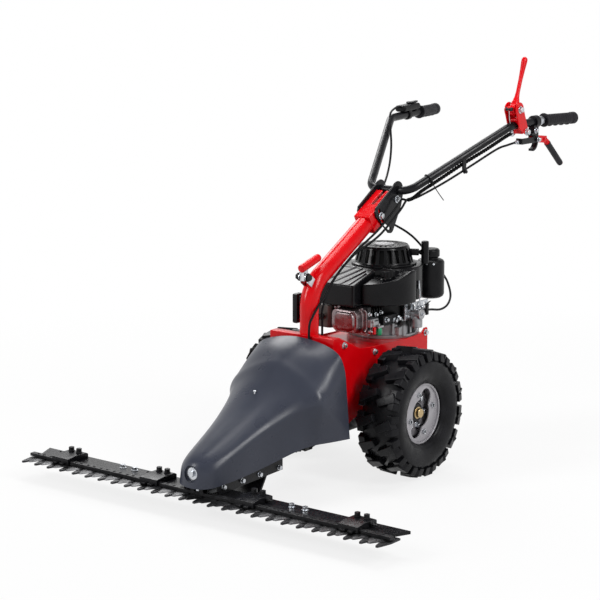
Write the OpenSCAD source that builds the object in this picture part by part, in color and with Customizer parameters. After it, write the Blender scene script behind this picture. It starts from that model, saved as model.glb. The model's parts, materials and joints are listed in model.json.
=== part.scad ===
// Walk-behind sickle bar mower. Forward is -Y, the machine's left is +X, the ground is z = 0.

/* [Wheels] */
// Outside diameter of the tyres
tyre_d = 330; // [310:1:350]
// Width of the tyres
tyre_w = 120; // [112:1:124]
// Distance between the tyre centres
track = 386; // [380:1:410]
// Diameter of the rim's bead seat
rim_d = 155; // [150:1:160]
// Depth of the rim plate inside the tyre's outer face
rim_inset = 27; // [24:1:30]
// Tread lugs along each shoulder
lug_count = 14; // [10:1:18]
// Height of the tread lugs
lug_h = 14; // [10:1:16]
// Diameter of the axle shaft
axle_d = 20; // [18:1:22]

/* [Cutter bar] */
// Number of knife sections, an odd count
section_count = 25; // [19:2:27]
// Pitch of the knife sections
section_pitch = 43.9; // [42:0.1:46]
// Thickness of a knife section
section_t = 3; // [2.5:0.5:4]
// Distance from the axle to the finger tips
bar_reach = 648; // [640:1:660]
// Length of the fingers ahead of the bar plate
finger_len = 53; // [50:1:58]
// Height of the comb's underside above the ground
bar_clear = 46; // [42:1:50]
// Thickness of the comb fingers
comb_t = 5; // [4:0.5:6]
// Depth of the bar plate
plate_deep = 58; // [54:1:62]
// Thickness of the bar plate
plate_t = 8; // [7:0.5:9]
// Width of the knife back
back_w = 15; // [13:0.5:16]
// Thickness of the knife back
back_t = 8; // [7:0.5:9]
// Stroke of the knife
stroke = 44; // [36:1:46]

/* [Frame] */
// Width over the side plates
frame_w = 200; // [194:1:210]
// Thickness of the frame sheet
sheet_t = 4; // [3:0.5:5]
// Height of the deck above the axle
deck_rise = 157; // [154:1:164]
// Diameter of the drive tube
drive_tube_d = 52; // [48:1:54]
// Diameter of the drive shaft
drive_shaft_d = 16; // [14:1:18]

/* [Column] */
// Diameter of the column tube
column_d = 48; // [45:0.5:50]
// Wall of the column tube
column_wall = 3; // [2.5:0.5:4]
// Distance of the column ahead of the axle
column_ahead = 172; // [170:1:176]
// Height of the knee above the deck
knee_rise = 165; // [161:1:173]
// Length from the knee to the tilt pivot
column_len = 387; // [375:1:395]
// Slope of the upper column
column_slope = 29.7; // [28:0.1:32]
// Width of the column's head
head_w = 50; // [48:1:54]

/* [Handlebar] */
// Diameter of the handlebar tube
bar_tube_d = 22; // [20:0.5:24]
// Wall of the handlebar tube
bar_tube_wall = 2; // [1.5:0.5:3]
// Diameter of the grips
grip_d = 30; // [28:1:32]
// Length of the grips
grip_len = 128; // [118:1:130]
// Thickness of the tilt plates
tilt_plate_t = 5; // [4:0.5:6]
// Radius of the arc slot about the pivot
arc_r = 80; // [78:1:82]

/* [Engine] */
// Distance of the crankshaft behind the axle
engine_back = 152; // [148:1:156]
// Radius of the starter cover at its base
recoil_r = 78; // [74:1:82]
// Height of the starter cover
recoil_h = 51; // [47:1:56]
// Radius of the fan shroud
shroud_r = 104; // [100:1:105]
// Height of the fan shroud
shroud_h = 88; // [84:1:92]
// Slots around the starter cover
louvre_count = 22; // [16:1:26]
// Diameter of the air filter canister
canister_d = 74; // [68:1:78]

/* [Cowl] */
// Half width of the cowl's rear skirt
cowl_rear_half = 160; // [150:1:166]
// Height of the cowl's rear arch
cowl_top = 383; // [374:1:390]
// Wall of the cowl
cowl_wall = 3; // [2.5:0.5:4]

/* [Hidden] */

$fn = 48;
RED = [0.86, 0.03, 0.05];
BLACK = [0.12, 0.12, 0.13];
GREY = [0.27, 0.29, 0.35];
STEEL = [0.72, 0.73, 0.75];
ALLOY = [0.66, 0.67, 0.68];

// Running clearance of shafts in their bores, on the radius
run_fit = 0.05;
// Clearance between faces of parts that move past each other
slide_gap = 0.3;
// Overlap of cutting tools past the face that they cut
cut = 1;

axle_z = tyre_d / 2;
deck_z = axle_z + deck_rise;
half_frame = frame_w / 2;
tyre_x = track / 2;
rim_x = tyre_x + tyre_w / 2 - rim_inset;

comb_top = bar_clear + comb_t;
section_z = comb_top + slide_gap;
back_z = section_z + section_t;
back_top = back_z + back_t;
plate_z = comb_top;
plate_top = plate_z + plate_t;
plate_front = -(bar_reach - finger_len);
plate_rear = plate_front + plate_deep;
plate_half = section_count * section_pitch / 2 + 15;
back_rear = plate_front - 0.5;
back_front = back_rear - back_w;
back_mid = (back_rear + back_front) / 2;

drive_z = axle_z + 20;
carrier_half = 55;
carrier_wall = 4;
carrier_top = plate_top + 36;
carrier_front = back_front - 3;
carrier_rear = plate_front + 245;
swing_y = plate_front + 105;
swing_arm = swing_y - back_mid;
swing_pin_d = 14;
cheek_h = 7.5;
swing_shaft_d = 24;
swing_box_front = plate_front + 50;
swing_box_rear = plate_front + 155;

column_y = -column_ahead;
knee_z = deck_z + knee_rise;
pivot_y = column_y + column_len * cos(column_slope);
pivot_z = knee_z + column_len * sin(column_slope);
column_foot = deck_z - 40;
column_bend = 90;
plate_in = head_w / 2 + slide_gap;
plate_out = plate_in + tilt_plate_t;
arc_low = 195;
arc_high = 247.5;
arc_bolt = 206.5;
tilt_bolt_d = 8;

// Handlebar points on the left, from the pivot
cross_at = [0, 8, 22];
base_at = [62, 8, 22];
bend_at = [194, 292, 178];
grip_from = [204, 439, 184];
grip_to = [230, 571, 183];
grip_dir = unit(grip_to - grip_from);
rear_reach = pivot_y + grip_to[1] + grip_d / 2 * sqrt(1 - grip_dir[1] * grip_dir[1]);
axle_y = (bar_reach - rear_reach) / 2;

engine_y = engine_back;
case_top = deck_z + 94;
case_d = 160;
shroud_z = deck_z + 98;
recoil_z = shroud_z + shroud_h;
crank_d = 22;
bell_bore = 60;
cyl_x = 14;
cyl_z = deck_z + 63;
canister_at = [60, 284];
canister_z = deck_z + 82;
canister_h = 104;
carb_z = deck_z + 48;
starter_dir = 30;
rope_d = 4;
rope_reach = 62;
cap_at = [84, 50];
tank_top = recoil_z - 2;
cap_z = tank_top - 10;
neck_d = 28;
starter_z = recoil_z + 31;

frame_front = -205;
frame_rear = 214;
front_top = deck_z + 52;
cowl_rear_y = frame_front - 10;
cowl_nose_y = -bar_reach + 14;
nose_in_y = cowl_nose_y + 16;
nose_bolt_z = carrier_top + 15;
nose_bolt_d = 8;
stay_y = cowl_y(0.418);
stay_screw_d = 5;
stay_d = 10;

echo(axle_y = axle_y, axle_z = axle_z, pivot = [0, pivot_y + axle_y, pivot_z]);
echo(drive_z = drive_z, swing_y = swing_y + axle_y, swing_arm = swing_arm, back_mid = back_mid + axle_y);
echo(engine_y = engine_y + axle_y, starter_z = starter_z, deck_z = deck_z, knee_z = knee_z);

function unit(v) = v / norm(v);

// Catmull-Rom point between p[1] and p[2]
function spline(p, t) =
    0.5 * (2 * p[1] + (p[2] - p[0]) * t + (2 * p[0] - 5 * p[1] + 4 * p[2] - p[3]) * t * t
    + (3 * p[1] - p[0] - 3 * p[2] + p[3]) * t * t * t);
function at(list, i) = list[min(max(i, 0), len(list) - 1)];
function smooth(list, steps) = concat(
    [for (i = [0 : len(list) - 2], k = [0 : steps - 1])
        spline([at(list, i - 1), list[i], list[i + 1], at(list, i + 2)], k / steps)],
    [list[len(list) - 1]]);

// Frames carried along a route without twist, and the rings about them
function tangent(p, i) = unit(at(p, i + 1) - at(p, i - 1));
function square_to(t, n) = unit(n - (n * t) * t);
function normals(p) = [
    for (i = 0, n = square_to(tangent(p, 0), [0.31, 0.17, 0.94]);
        i < len(p);
        i = i + 1, n = i < len(p) ? square_to(tangent(p, i), n) : n)
    n];
function ring_points(p, r, sides) = let (n = normals(p)) [
    for (i = [0 : len(p) - 1], k = [0 : sides - 1])
        let (b = cross(tangent(p, i), n[i]), a = 360 * k / sides)
        p[i] + r[i] * (cos(a) * n[i] + sin(a) * b)];
function tube_faces(rings, sides) = concat(
    [for (k = [1 : sides - 2]) [0, k, k + 1]],
    [for (i = [0 : rings - 2], k = [0 : sides - 1])
        let (a = i * sides + k, b = i * sides + (k + 1) % sides) [a, a + sides, b]],
    [for (i = [0 : rings - 2], k = [0 : sides - 1])
        let (a = i * sides + k, b = i * sides + (k + 1) % sides) [b, a + sides, b + sides]],
    [for (k = [1 : sides - 2]) let (o = (rings - 1) * sides) [o, o + k + 1, o + k]]);

// Polyline with its corners turned into arcs of one radius
function corner(p, i, r, steps) = let (
    d0 = unit(p[i] - p[i - 1]),
    d1 = unit(p[i + 1] - p[i]),
    turn = acos(d0 * d1),
    c = p[i] + unit(d1 - d0) * r / cos(turn / 2),
    e1 = unit(p[i] - d0 * r * tan(turn / 2) - c))
    [for (k = [0 : steps]) let (a = turn * k / steps) c + r * (cos(a) * e1 + sin(a) * d0)];
function rounded(p, r, steps) = concat(
    [p[0]],
    [for (i = [1 : len(p) - 2]) each corner(p, i, r, steps)],
    [p[len(p) - 1]]);
function inset_ends(p, wall) = let (n = len(p)) concat(
    [p[0] + unit(p[1] - p[0]) * wall],
    [for (i = [1 : n - 2]) p[i]],
    [p[n - 1] + unit(p[n - 2] - p[n - 1]) * wall]);

module swept(p, r, sides) {
    polyhedron(ring_points(p, r, sides), tube_faces(len(p), sides), convexity = 8);
}

// Shifts the axle's frame so that the origin is under the middle of the whole object
module placed() {
    translate([0, axle_y, 0])
        children();
}

module both() {
    children();
    mirror([1, 0, 0])
        children();
}

module rod_x(d, x0, x1) {
    translate([x0, 0, 0])
        rotate([0, 90, 0])
            cylinder(d = d, h = x1 - x0);
}

module rod_y(d, y0, y1) {
    translate([0, y0, 0])
        rotate([-90, 0, 0])
            cylinder(d = d, h = y1 - y0);
}

// Extrudes a (y, z) outline across x0 to x1
module across(x0, x1) {
    translate([x0, 0, 0])
        rotate([90, 0, 90])
            linear_extrude(x1 - x0)
                children();
}

module round_rect(w, h, r) {
    square([w - 2 * r, h], center = true);
    square([w, h - 2 * r], center = true);
    for (x = [-1, 1], y = [-1, 1])
        translate([x * (w / 2 - r), y * (h / 2 - r)])
            circle(r);
}

module hex_head(size, h) {
    cylinder(d = size / cos(30), h = h, $fn = 6);
}

// Round tube through points with elbows of one radius
module bent_tube(p, r, d, wall) {
    n = len(p);
    dir = [for (i = [0 : n - 2]) unit(p[i + 1] - p[i])];
    turn = [for (i = [0 : n - 2]) i == 0 ? 0 : acos(dir[i - 1] * dir[i])];
    trim = [for (i = [0 : n - 2]) i == 0 ? 0 : r * tan(turn[i] / 2)];
    for (i = [0 : n - 2]) {
        tail = i == n - 2 ? 0 : trim[i + 1];
        run = norm(p[i + 1] - p[i]) - trim[i] - tail;
        side = unit(cross(abs(dir[i][0]) > 0.9 ? [0, 0, 1] : [1, 0, 0], dir[i]));
        up = cross(dir[i], side);
        o = p[i] + dir[i] * trim[i];
        multmatrix([
            [side[0], up[0], dir[i][0], o[0]],
            [side[1], up[1], dir[i][1], o[1]],
            [side[2], up[2], dir[i][2], o[2]]])
            linear_extrude(run)
                difference() {
                    circle(d = d);
                    circle(d = d - 2 * wall);
                }
    }
    for (i = [1 : n - 2]) {
        inward = unit(dir[i] - dir[i - 1]);
        c = p[i] + inward * r / cos(turn[i] / 2);
        e1 = unit(p[i] - dir[i - 1] * trim[i] - c);
        e2 = dir[i - 1];
        e3 = cross(e1, e2);
        multmatrix([
            [e1[0], e2[0], e3[0], c[0]],
            [e1[1], e2[1], e3[1], c[1]],
            [e1[2], e2[2], e3[2], c[2]]])
            rotate_extrude(angle = turn[i])
                translate([r, 0])
                    difference() {
                        circle(d = d);
                        circle(d = d - 2 * wall);
                    }
        seam(p[i] - dir[i - 1] * trim[i], dir[i - 1], d, wall);
        seam(p[i] + dir[i] * trim[i], dir[i], d, wall);
    }
}

// Weld bead where a straight run meets an elbow
module seam(o, dir, d, wall) {
    bead = 0.15;
    side = unit(cross(abs(dir[0]) > 0.9 ? [0, 0, 1] : [1, 0, 0], dir));
    up = cross(dir, side);
    multmatrix([
        [side[0], up[0], dir[0], o[0]],
        [side[1], up[1], dir[1], o[1]],
        [side[2], up[2], dir[2], o[2]]])
        translate([0, 0, -1])
            linear_extrude(2)
                difference() {
                    circle(d = d + 2 * bead);
                    circle(d = d - 2 * wall - 2 * bead);
                }
}

// Frame and column

front_back = -178;
rear_flange = 44;

module frame_side() {
    across(half_frame - sheet_t, half_frame)
        polygon([
            [frame_front, drive_z - 45], [frame_front, front_top], [front_back, front_top],
            [-93, deck_z + 12], [-57, deck_z + 7], [120, deck_z + 1], [frame_rear - 30, deck_z + 4],
            [frame_rear - 14, deck_z + 16], [frame_rear - 3, deck_z + 16], [frame_rear, deck_z + 12],
            [frame_rear, deck_z - rear_flange], [120, axle_z + 62],
            [48, axle_z + 42], [-48, axle_z + 42], [-84, axle_z], [-160, axle_z - 25]]);
}

module frame() {
    color(RED) placed() {
        both() frame_side();
        difference() {
            across(-half_frame + sheet_t, half_frame - sheet_t)
                polygon([
                    [frame_front, drive_z - 45], [frame_front, front_top], [front_back, front_top],
                    [-90, deck_z], [frame_rear, deck_z], [frame_rear, deck_z - rear_flange],
                    [frame_rear - sheet_t, deck_z - rear_flange],
                    [frame_rear - sheet_t, deck_z - sheet_t], [-92, deck_z - sheet_t],
                    [front_back - 2, front_top - sheet_t], [frame_front + sheet_t, front_top - sheet_t],
                    [frame_front + sheet_t, drive_z - 45]]);
            translate([0, engine_y, deck_z - sheet_t - cut])
                cylinder(d = bell_bore, h = sheet_t + 2 * cut);
            translate([0, column_y, deck_z])
                cylinder(d = column_d + 2 * run_fit, h = 60);
            translate([0, frame_front, drive_z])
                rod_y(drive_tube_d + 2 * run_fit, -cut, sheet_t + cut);
            translate([drive_entry[0], drive_entry[1], deck_z])
                cylinder(d = cable_d + 2 * slide_gap, h = 60);
        }
    }
}

module frame_bolt(y, z) {
    translate([half_frame, y, z])
        rotate([0, 90, 0]) {
            cylinder(d = 17, h = 1.5);
            translate([0, 0, 1.5])
                hex_head(11, 6);
        }
}

module frame_bolts() {
    color(STEEL) placed() both() {
        frame_bolt(-160, deck_z + 30);
        frame_bolt(-28, deck_z - 9);
        frame_bolt(frame_rear - 11, deck_z + 3);
    }
}

module column() {
    color(RED) placed()
        bent_tube([
            [0, column_y, column_foot],
            [0, column_y, knee_z],
            [0, pivot_y - 118 * cos(column_slope), pivot_z - 118 * sin(column_slope)]],
            column_bend, column_d, column_wall);
}

// Head in the column's slope, with the pivot at its origin
module column_head() {
    head_h = column_d + 4;
    tail = 118;
    color(RED) placed() translate([0, pivot_y, pivot_z]) rotate([column_slope, 0, 0])
        difference() {
            across(-head_w / 2, head_w / 2) {
                translate([-tail, -head_h / 2])
                    square([tail, head_h]);
                circle(d = 24);
            }
            across(-head_w / 2 + sheet_t, head_w / 2 - sheet_t)
                translate([-tail + 5, -head_h / 2 - cut])
                    square([tail + 60, head_h + cut - sheet_t]);
            translate([-5, -62, 0])
                cube([10, 74, head_h]);
            rod_x(tilt_bolt_d, -head_w, head_w);
            rotate([arc_bolt - 180 - column_slope, 0, 0])
                translate([0, -arc_r, 0])
                    rod_x(tilt_bolt_d, -head_w, head_w);
        }
}

module tilt_bolt() {
    grip = plate_out + slide_gap;
    rod_x(tilt_bolt_d - 2 * run_fit, -grip, grip);
    both() translate([grip, 0, 0])
        rotate([0, 90, 0]) {
            cylinder(d = 20, h = 2);
            translate([0, 0, 2])
                hex_head(13, 6);
        }
}

module tilt_bolts() {
    color(STEEL) placed() translate([0, pivot_y, pivot_z]) {
        tilt_bolt();
        rotate([arc_bolt - 180, 0, 0])
            translate([0, -arc_r, 0])
                tilt_bolt();
    }
}

module column_guard() {
    color(BLACK) placed()
        translate([-column_d / 2 - 22, column_y - 12, front_top + 21]) {
            cube([16, 26, 76]);
            translate([14, 8, 50])
                cube([8 - run_fit, 8, 20]);
        }
}

// Wheels on the axle

module axle_shaft() {
    color(STEEL) placed() translate([0, 0, axle_z]) difference() {
        rod_x(axle_d, -rim_x + 12, rim_x - 12);
        both() rod_x(6, rim_x - 30, rim_x);
    }
}

module lobed_opening() {
    circle(d = 74);
    rotate(152) {
        square([88, 44], center = true);
        for (s = [-1, 1])
            translate([s * 44, 0])
                circle(d = 44);
    }
}

module rim() {
    hub_d = axle_d + 22;
    seat = rim_d / 2;
    barrel = tyre_w * 0.62;
    translate([tyre_x, 0, axle_z]) rotate([0, 90, 0]) difference() {
        union() {
            rotate_extrude() {
                translate([seat - 4, -barrel / 2])
                    square([4, barrel]);
                translate([hub_d / 2 - 4, -barrel / 2 + 8])
                    square([seat - hub_d / 2 + 2, 5]);
                translate([axle_d / 2 + run_fit, -barrel / 2])
                    square([hub_d / 2 - axle_d / 2, barrel - 26]);
            }
            translate([0, 0, rim_x - tyre_x - 4])
                difference() {
                    cylinder(r = seat, h = 4);
                    translate([0, 0, -cut])
                        linear_extrude(4 + 2 * cut)
                            lobed_opening();
                }
        }
    }
}

module rims() {
    color(ALLOY) placed() both() rim();
}

module wheel_bolts() {
    color(STEEL) placed() both()
        translate([rim_x, 0, axle_z]) rotate([0, 90, 0])
            for (a = [14, 104, 194, 284])
                rotate(a)
                    translate([51, 0, 0])
                        hex_head(10, 5);
}

module tyre_section() {
    crown = tyre_d / 2 - lug_h;
    seat = rim_d / 2 + run_fit;
    mid = (crown + seat + 14) / 2;
    difference() {
        union() {
            translate([mid, 0])
                round_rect(crown - seat - 14, tyre_w - 4, 26);
            translate([(seat + mid) / 2, 0])
                square([mid - seat, tyre_w * 0.62], center = true);
        }
        translate([mid - 2, 0])
            round_rect(crown - seat - 34, tyre_w - 28, 18);
        translate([seat - cut, -tyre_w * 0.62 / 2 + 14])
            square([mid - seat, tyre_w * 0.62 - 28]);
    }
}

module lug(side) {
    crown = tyre_d / 2;
    translate([0, 0, crown - lug_h - 12])
        rotate([0, 0, side * 24])
            translate([-10, side > 0 ? 4 : -tyre_w * 0.5 + 4, 0])
                cube([20, tyre_w * 0.5 - 8, lug_h + 12]);
}

module shoulder_lug(side) {
    translate([-11, side > 0 ? tyre_w / 2 - 22 : -tyre_w / 2, tyre_d / 2 - 34])
        cube([22, 22, 29]);
}

module tread() {
    for (i = [0 : lug_count - 1]) {
        rotate([180 + 360 * i / lug_count, 0, 0])
            rotate(90) {
                lug(1);
                shoulder_lug(1);
                shoulder_lug(-1);
            }
        rotate([180 + 360 * (i + 0.5) / lug_count, 0, 0])
            rotate(90) {
                lug(-1);
                shoulder_lug(1);
                shoulder_lug(-1);
            }
    }
}

module tyre() {
    translate([tyre_x, 0, axle_z]) {
        rotate([0, 90, 0])
            rotate_extrude()
                tyre_section();
        intersection() {
            tread();
            rod_x(tyre_d, -tyre_w / 2, tyre_w / 2);
        }
    }
}

module tyre_left() {
    color(BLACK) placed() tyre();
}

module tyre_right() {
    color(BLACK) placed() mirror([1, 0, 0]) tyre();
}

// Gearbox under the deck

gear_half = 56;
bell_d = 88;
trumpet_d = 58;
trumpet_end = half_frame + 14;
bush_len = 22;
bush_d = axle_d + 10;

module gearbox_outline() {
    translate([0, axle_z])
        circle(d = 124);
    polygon([[0, axle_z + 62], [engine_y - 8, deck_z - 50], [engine_y + 52, deck_z - 90],
        [engine_y + 40, deck_z - 130], [0, axle_z - 62]]);
}

module gearbox() {
    difference() {
        union() {
            across(-gear_half, gear_half)
                gearbox_outline();
            translate([0, engine_y, deck_z - 100])
                cylinder(d = bell_d, h = 100 - sheet_t);
            translate([0, 0, axle_z])
                rod_x(trumpet_d, -trumpet_end, trumpet_end);
            translate([0, 0, drive_z])
                rod_y(drive_tube_d + 24, -84, 0);
            for (x = [-36 : 18 : 36])
                translate([x - 2, -56, axle_z - 66])
                    cube([4, 200, 66]);
        }
        translate([0, 0, axle_z]) {
            rod_x(axle_d + 4, -trumpet_end - cut, trumpet_end + cut);
            both() rod_x(bush_d, trumpet_end - bush_len, trumpet_end + cut);
        }
        translate([0, engine_y, deck_z - 60])
            cylinder(d = crank_d + 2 * run_fit, h = 60);
        translate([0, 0, drive_z])
            rod_y(drive_shaft_d + 2 * run_fit, -90, -55);
    }
}

module gearbox_half() {
    intersection() {
        gearbox();
        translate([0, -300, 0])
            cube([300, 600, deck_z]);
    }
}

module gearbox_left() {
    color(BLACK) placed() gearbox_half();
}

module gearbox_right() {
    color(BLACK) placed() mirror([1, 0, 0]) gearbox_half();
}

module gearbox_bolts() {
    color(STEEL) placed() both()
        for (a = [100, 140, 220, 260])
            translate([gear_half, 50 * cos(a), axle_z + 50 * sin(a)])
                rotate([0, 90, 0])
                    hex_head(10, 6);
}

module axle_bushes() {
    color([0.75, 0.6, 0.3]) placed() translate([0, 0, axle_z]) both() difference() {
        rod_x(bush_d, trumpet_end - bush_len, trumpet_end + 2);
        rod_x(axle_d + 2 * run_fit, trumpet_end - bush_len - cut, trumpet_end + 2 + cut);
    }
}

// Drive to the knife

module drive_tube() {
    color(BLACK) placed()
        translate([0, 0, drive_z]) difference() {
            union() {
                rod_y(drive_tube_d, swing_box_rear, -84);
                rod_y(drive_tube_d + 24, -94, -84);
                rod_y(drive_tube_d + 16, swing_box_rear, swing_box_rear + 10);
                translate([0, stay_y, 0])
                    cylinder(d = stay_d, h = stay_top - drive_z);
            }
            rod_y(drive_tube_d - 10, swing_box_rear - cut, -84 + cut);
        }
}

module drive_shaft() {
    color(STEEL) placed() translate([0, 0, drive_z]) {
        rod_y(drive_shaft_d, swing_box_rear - 30, -56);
        rod_y(drive_shaft_d + 10, swing_box_rear + 140, swing_box_rear + 240);
    }
}

module swing_box() {
    half = 36;
    rib = 4;
    color(ALLOY) placed() difference() {
        union() {
            across(-half, half)
                polygon([
                    [swing_box_rear, carrier_top], [swing_box_rear, drive_z + 20],
                    [swing_box_rear - 20, drive_z + 17], [swing_box_front, carrier_top + 50],
                    [swing_box_front, carrier_top]]);
            for (y = [swing_box_front + 10 : 26 : swing_box_rear - 10])
                translate([-half - rib, y, carrier_top])
                    cube([2 * (half + rib), rib, 34]);
            translate([-half - 14, swing_box_front, carrier_top])
                cube([2 * (half + 14), swing_box_rear - swing_box_front, 8]);
        }
        translate([0, 0, drive_z])
            rod_y(drive_shaft_d + 2 * run_fit, swing_box_rear - 40, swing_box_rear + cut);
        translate([0, swing_y, carrier_top - cut])
            cylinder(d = swing_shaft_d + 2 * run_fit, h = 31);
    }
}

module swing_lever() {
    arm_z = back_top + cheek_h + 1;
    arm_t = 14;
    color(STEEL) placed() {
        translate([0, swing_y, arm_z]) {
            cylinder(d = swing_shaft_d, h = carrier_top - arm_z + 29);
            cylinder(d = 40, h = arm_t);
            translate([-11, -swing_arm, 0])
                cube([22, swing_arm, arm_t]);
        }
        translate([0, back_mid, back_top + 2])
            cylinder(d = swing_pin_d, h = arm_z + arm_t - back_top - 2);
    }
}

module carrier() {
    wall_front = plate_front - 3;
    tongue = 40;
    color(BLACK) placed() difference() {
        union() {
            both() across(carrier_half - carrier_wall, carrier_half)
                polygon([
                    [carrier_rear, carrier_top], [carrier_rear, plate_top + 8],
                    [plate_rear + 20, plate_top + 3], [plate_rear, plate_top],
                    [plate_front + 1, plate_top], [plate_front + 1, back_top + 4],
                    [wall_front, back_top + 4], [wall_front, carrier_top]]);
            translate([0, 0, carrier_top - carrier_wall])
                linear_extrude(carrier_wall)
                    polygon([
                        [-carrier_half, carrier_rear], [-carrier_half, wall_front], [-tongue, carrier_front],
                        [tongue, carrier_front], [carrier_half, wall_front], [carrier_half, carrier_rear]]);
            both() translate([carrier_half - 18, plate_front + 1, plate_top])
                cube([18, plate_deep - 1, carrier_wall]);
            translate([-26, carrier_front, carrier_top - carrier_wall])
                cube([52, carrier_wall, nose_bolt_z - carrier_top + 18]);
            translate([-carrier_half, carrier_rear - carrier_wall, plate_top + 8])
                cube([2 * carrier_half, carrier_wall, 24]);
        }
        translate([0, swing_y, carrier_top - 10])
            cylinder(d = swing_shaft_d + 2 * slide_gap, h = 20);
        translate([0, 0, nose_bolt_z])
            rod_y(nose_bolt_d + 2 * run_fit, carrier_front - cut, carrier_front + 10);
    }
}

module carrier_bolts() {
    color(STEEL) placed() both()
        for (y = [carrier_rear - 16, carrier_rear - 92, carrier_rear - 158, carrier_rear - 228])
            translate([carrier_half, y, plate_top + 17])
                rotate([0, 90, 0]) {
                    cylinder(d = 13, h = 1.5);
                    translate([0, 0, 1.5])
                        hex_head(10, 6);
                }
}

// Runner bent from one strip, bolted up inside the carrier at the rear and under the plate in front
module centre_skid() {
    half = 40;
    strip = 6;
    heel = carrier_rear - 60;
    seat = carrier_top - carrier_wall;
    foot = plate_rear + 26;
    color(BLACK) placed()
        across(-half, half)
            polygon([
                [plate_rear - 16, plate_z], [plate_rear - 16, plate_z - strip],
                [plate_rear + 6, plate_z - strip], [foot, 0], [heel - 20, 0], [heel + 34, seat - strip],
                [carrier_rear - carrier_wall, seat - strip], [carrier_rear - carrier_wall, seat],
                [heel + 30, seat], [heel - 24, strip], [foot + 4, strip], [plate_rear + 10, plate_z]]);
}

// Cutter bar

module bar_plate() {
    chamfer = 26;
    color(BLACK) placed()
        translate([0, 0, plate_z])
            linear_extrude(plate_t)
                polygon([
                    [-plate_half, plate_rear], [-plate_half + chamfer, plate_front],
                    [plate_half - chamfer, plate_front], [plate_half, plate_rear]]);
}

module finger() {
    base = section_pitch * 0.56;
    translate([0, 0, bar_clear])
        linear_extrude(comb_t)
            polygon([
                [-base / 2, plate_front + 22], [base / 2, plate_front + 22],
                [base / 2, plate_front - 14], [6, -bar_reach + 10], [3, -bar_reach],
                [-3, -bar_reach], [-6, -bar_reach + 10], [-base / 2, plate_front - 14]]);
}

module comb_fingers() {
    color(STEEL) placed()
        for (i = [0 : section_count])
            translate([(i - section_count / 2) * section_pitch, 0, 0])
                finger();
}

module knife_section() {
    half = section_pitch / 2 - 0.5;
    translate([0, 0, section_z])
        linear_extrude(section_t)
            polygon([
                [-half, back_rear - 1], [half, back_rear - 1], [half, back_front - 4],
                [4, -bar_reach + 1], [-4, -bar_reach + 1], [-half, back_front - 4]]);
}

module knife_sections() {
    color(STEEL) placed()
        for (i = [0 : section_count - 1])
            translate([(i - (section_count - 1) / 2) * section_pitch, 0, 0])
                knife_section();
}

module knife_back() {
    half = section_count * section_pitch / 2 + 11;
    slot = swing_pin_d + 4 * slide_gap;
    cheek = 12;
    color(BLACK) placed() {
        translate([-half, back_front, back_z])
            cube([2 * half, back_w, back_t]);
        both() translate([slot / 2, back_front, back_top])
            cube([cheek, back_w, cheek_h]);
    }
}

clamp_at = [section_pitch * 3.4, section_pitch * 10.2];
clamp_half = 28;

module knife_clamp() {
    lip = back_front - 6;
    across(-clamp_half, clamp_half)
        polygon([
            [plate_rear - 6, plate_top], [plate_rear - 6, plate_top + 10],
            [plate_rear - 14, plate_top + 14], [back_rear + 6, plate_top + 14],
            [lip, back_top + 7], [lip, back_z + 0.7], [back_front - 1, back_z + 0.7],
            [back_front - 1, back_top + 0.5], [back_rear + 2, back_top + 0.5],
            [back_rear + 2, plate_top]]);
    for (x = [-18, 4])
        translate([x, lip - 8, back_z + 0.7])
            cube([14, 10, 5]);
}

module knife_clamps() {
    color(BLACK) placed() both()
        for (x = clamp_at)
            translate([x, 0, 0])
                knife_clamp();
}

module clamp_bolts() {
    color(BLACK) placed() both()
        for (x = clamp_at) {
            for (s = [-13, 13])
                translate([x + s, plate_rear - 24, plate_top + 14]) {
                    cylinder(d = 17, h = 2);
                    translate([0, 0, 2])
                        hex_head(13, 9);
                }
            translate([x + clamp_half, plate_rear - 30, plate_top + 6.5])
                rotate([0, 90, 0]) {
                    hex_head(10, 5);
                    cylinder(d = 6, h = 20);
                }
        }
}

module bar_bolts() {
    color(STEEL) placed() both()
        for (x = [section_pitch * 5.6, section_pitch * 6.5])
            translate([x, plate_rear - 22, plate_top]) {
                cylinder(d = 17, h = 2);
                translate([0, 0, 2])
                    hex_head(12, 7);
            }
}

// Cowl over the drive: a lofted hood that narrows into a tunnel
// Stations: [y, foot half width, foot z, ridge half width, ridge z, crown z]
function cowl_y(share) = cowl_rear_y + share * (cowl_nose_y - cowl_rear_y);
cowl_stations = [
    [cowl_rear_y, cowl_rear_half, 133, cowl_rear_half - 2, 150, cowl_top],
    [cowl_y(0.112), cowl_rear_half - 12, 138, cowl_rear_half - 11, 196, cowl_top - 17],
    [cowl_y(0.208), cowl_rear_half - 28, 143, cowl_rear_half - 19, 236, cowl_top - 45],
    [cowl_y(0.337), 112, 137, 114, 221, 290],
    [cowl_y(0.442), 92, 117, 96, 206, 253],
    [cowl_y(0.585), 76, 98, 77, 176, 218],
    [cowl_y(0.752), 69, 88, 66, 144, 185],
    [cowl_y(0.895), 62, 84, 58, 118, 158],
    [nose_in_y, 51, 79, 47, 104, 144],
    [cowl_nose_y, 18, 76, 17, 98, 124]];
cowl_steps = 3;
cowl_rings = smooth(cowl_stations, cowl_steps);
arch_points = 9;
// The slit that the inside shrinks to in the closed nose
nose_slit = 2;
nose_step = 0.3;
nose_ring = len(cowl_rings) - 1 - cowl_steps;
cowl_sections = [for (i = [0 : len(cowl_rings) - 1])
    each i == nose_ring ? [cowl_rings[i], cowl_rings[i] - [nose_step, 0, 0, 0, 0, 0]] : [cowl_rings[i]]];
// Round recess for the nose bolt
recess_d = 38;
recess_floor = nose_in_y - 5;

function cowl_crown(y) = lookup(y, [for (i = [len(cowl_rings) - 1 : -1 : 0])
    [cowl_rings[i][0], cowl_rings[i][5]]]);

stay_top = cowl_crown(stay_y - stay_d / 2) - cowl_wall - slide_gap;

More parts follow.
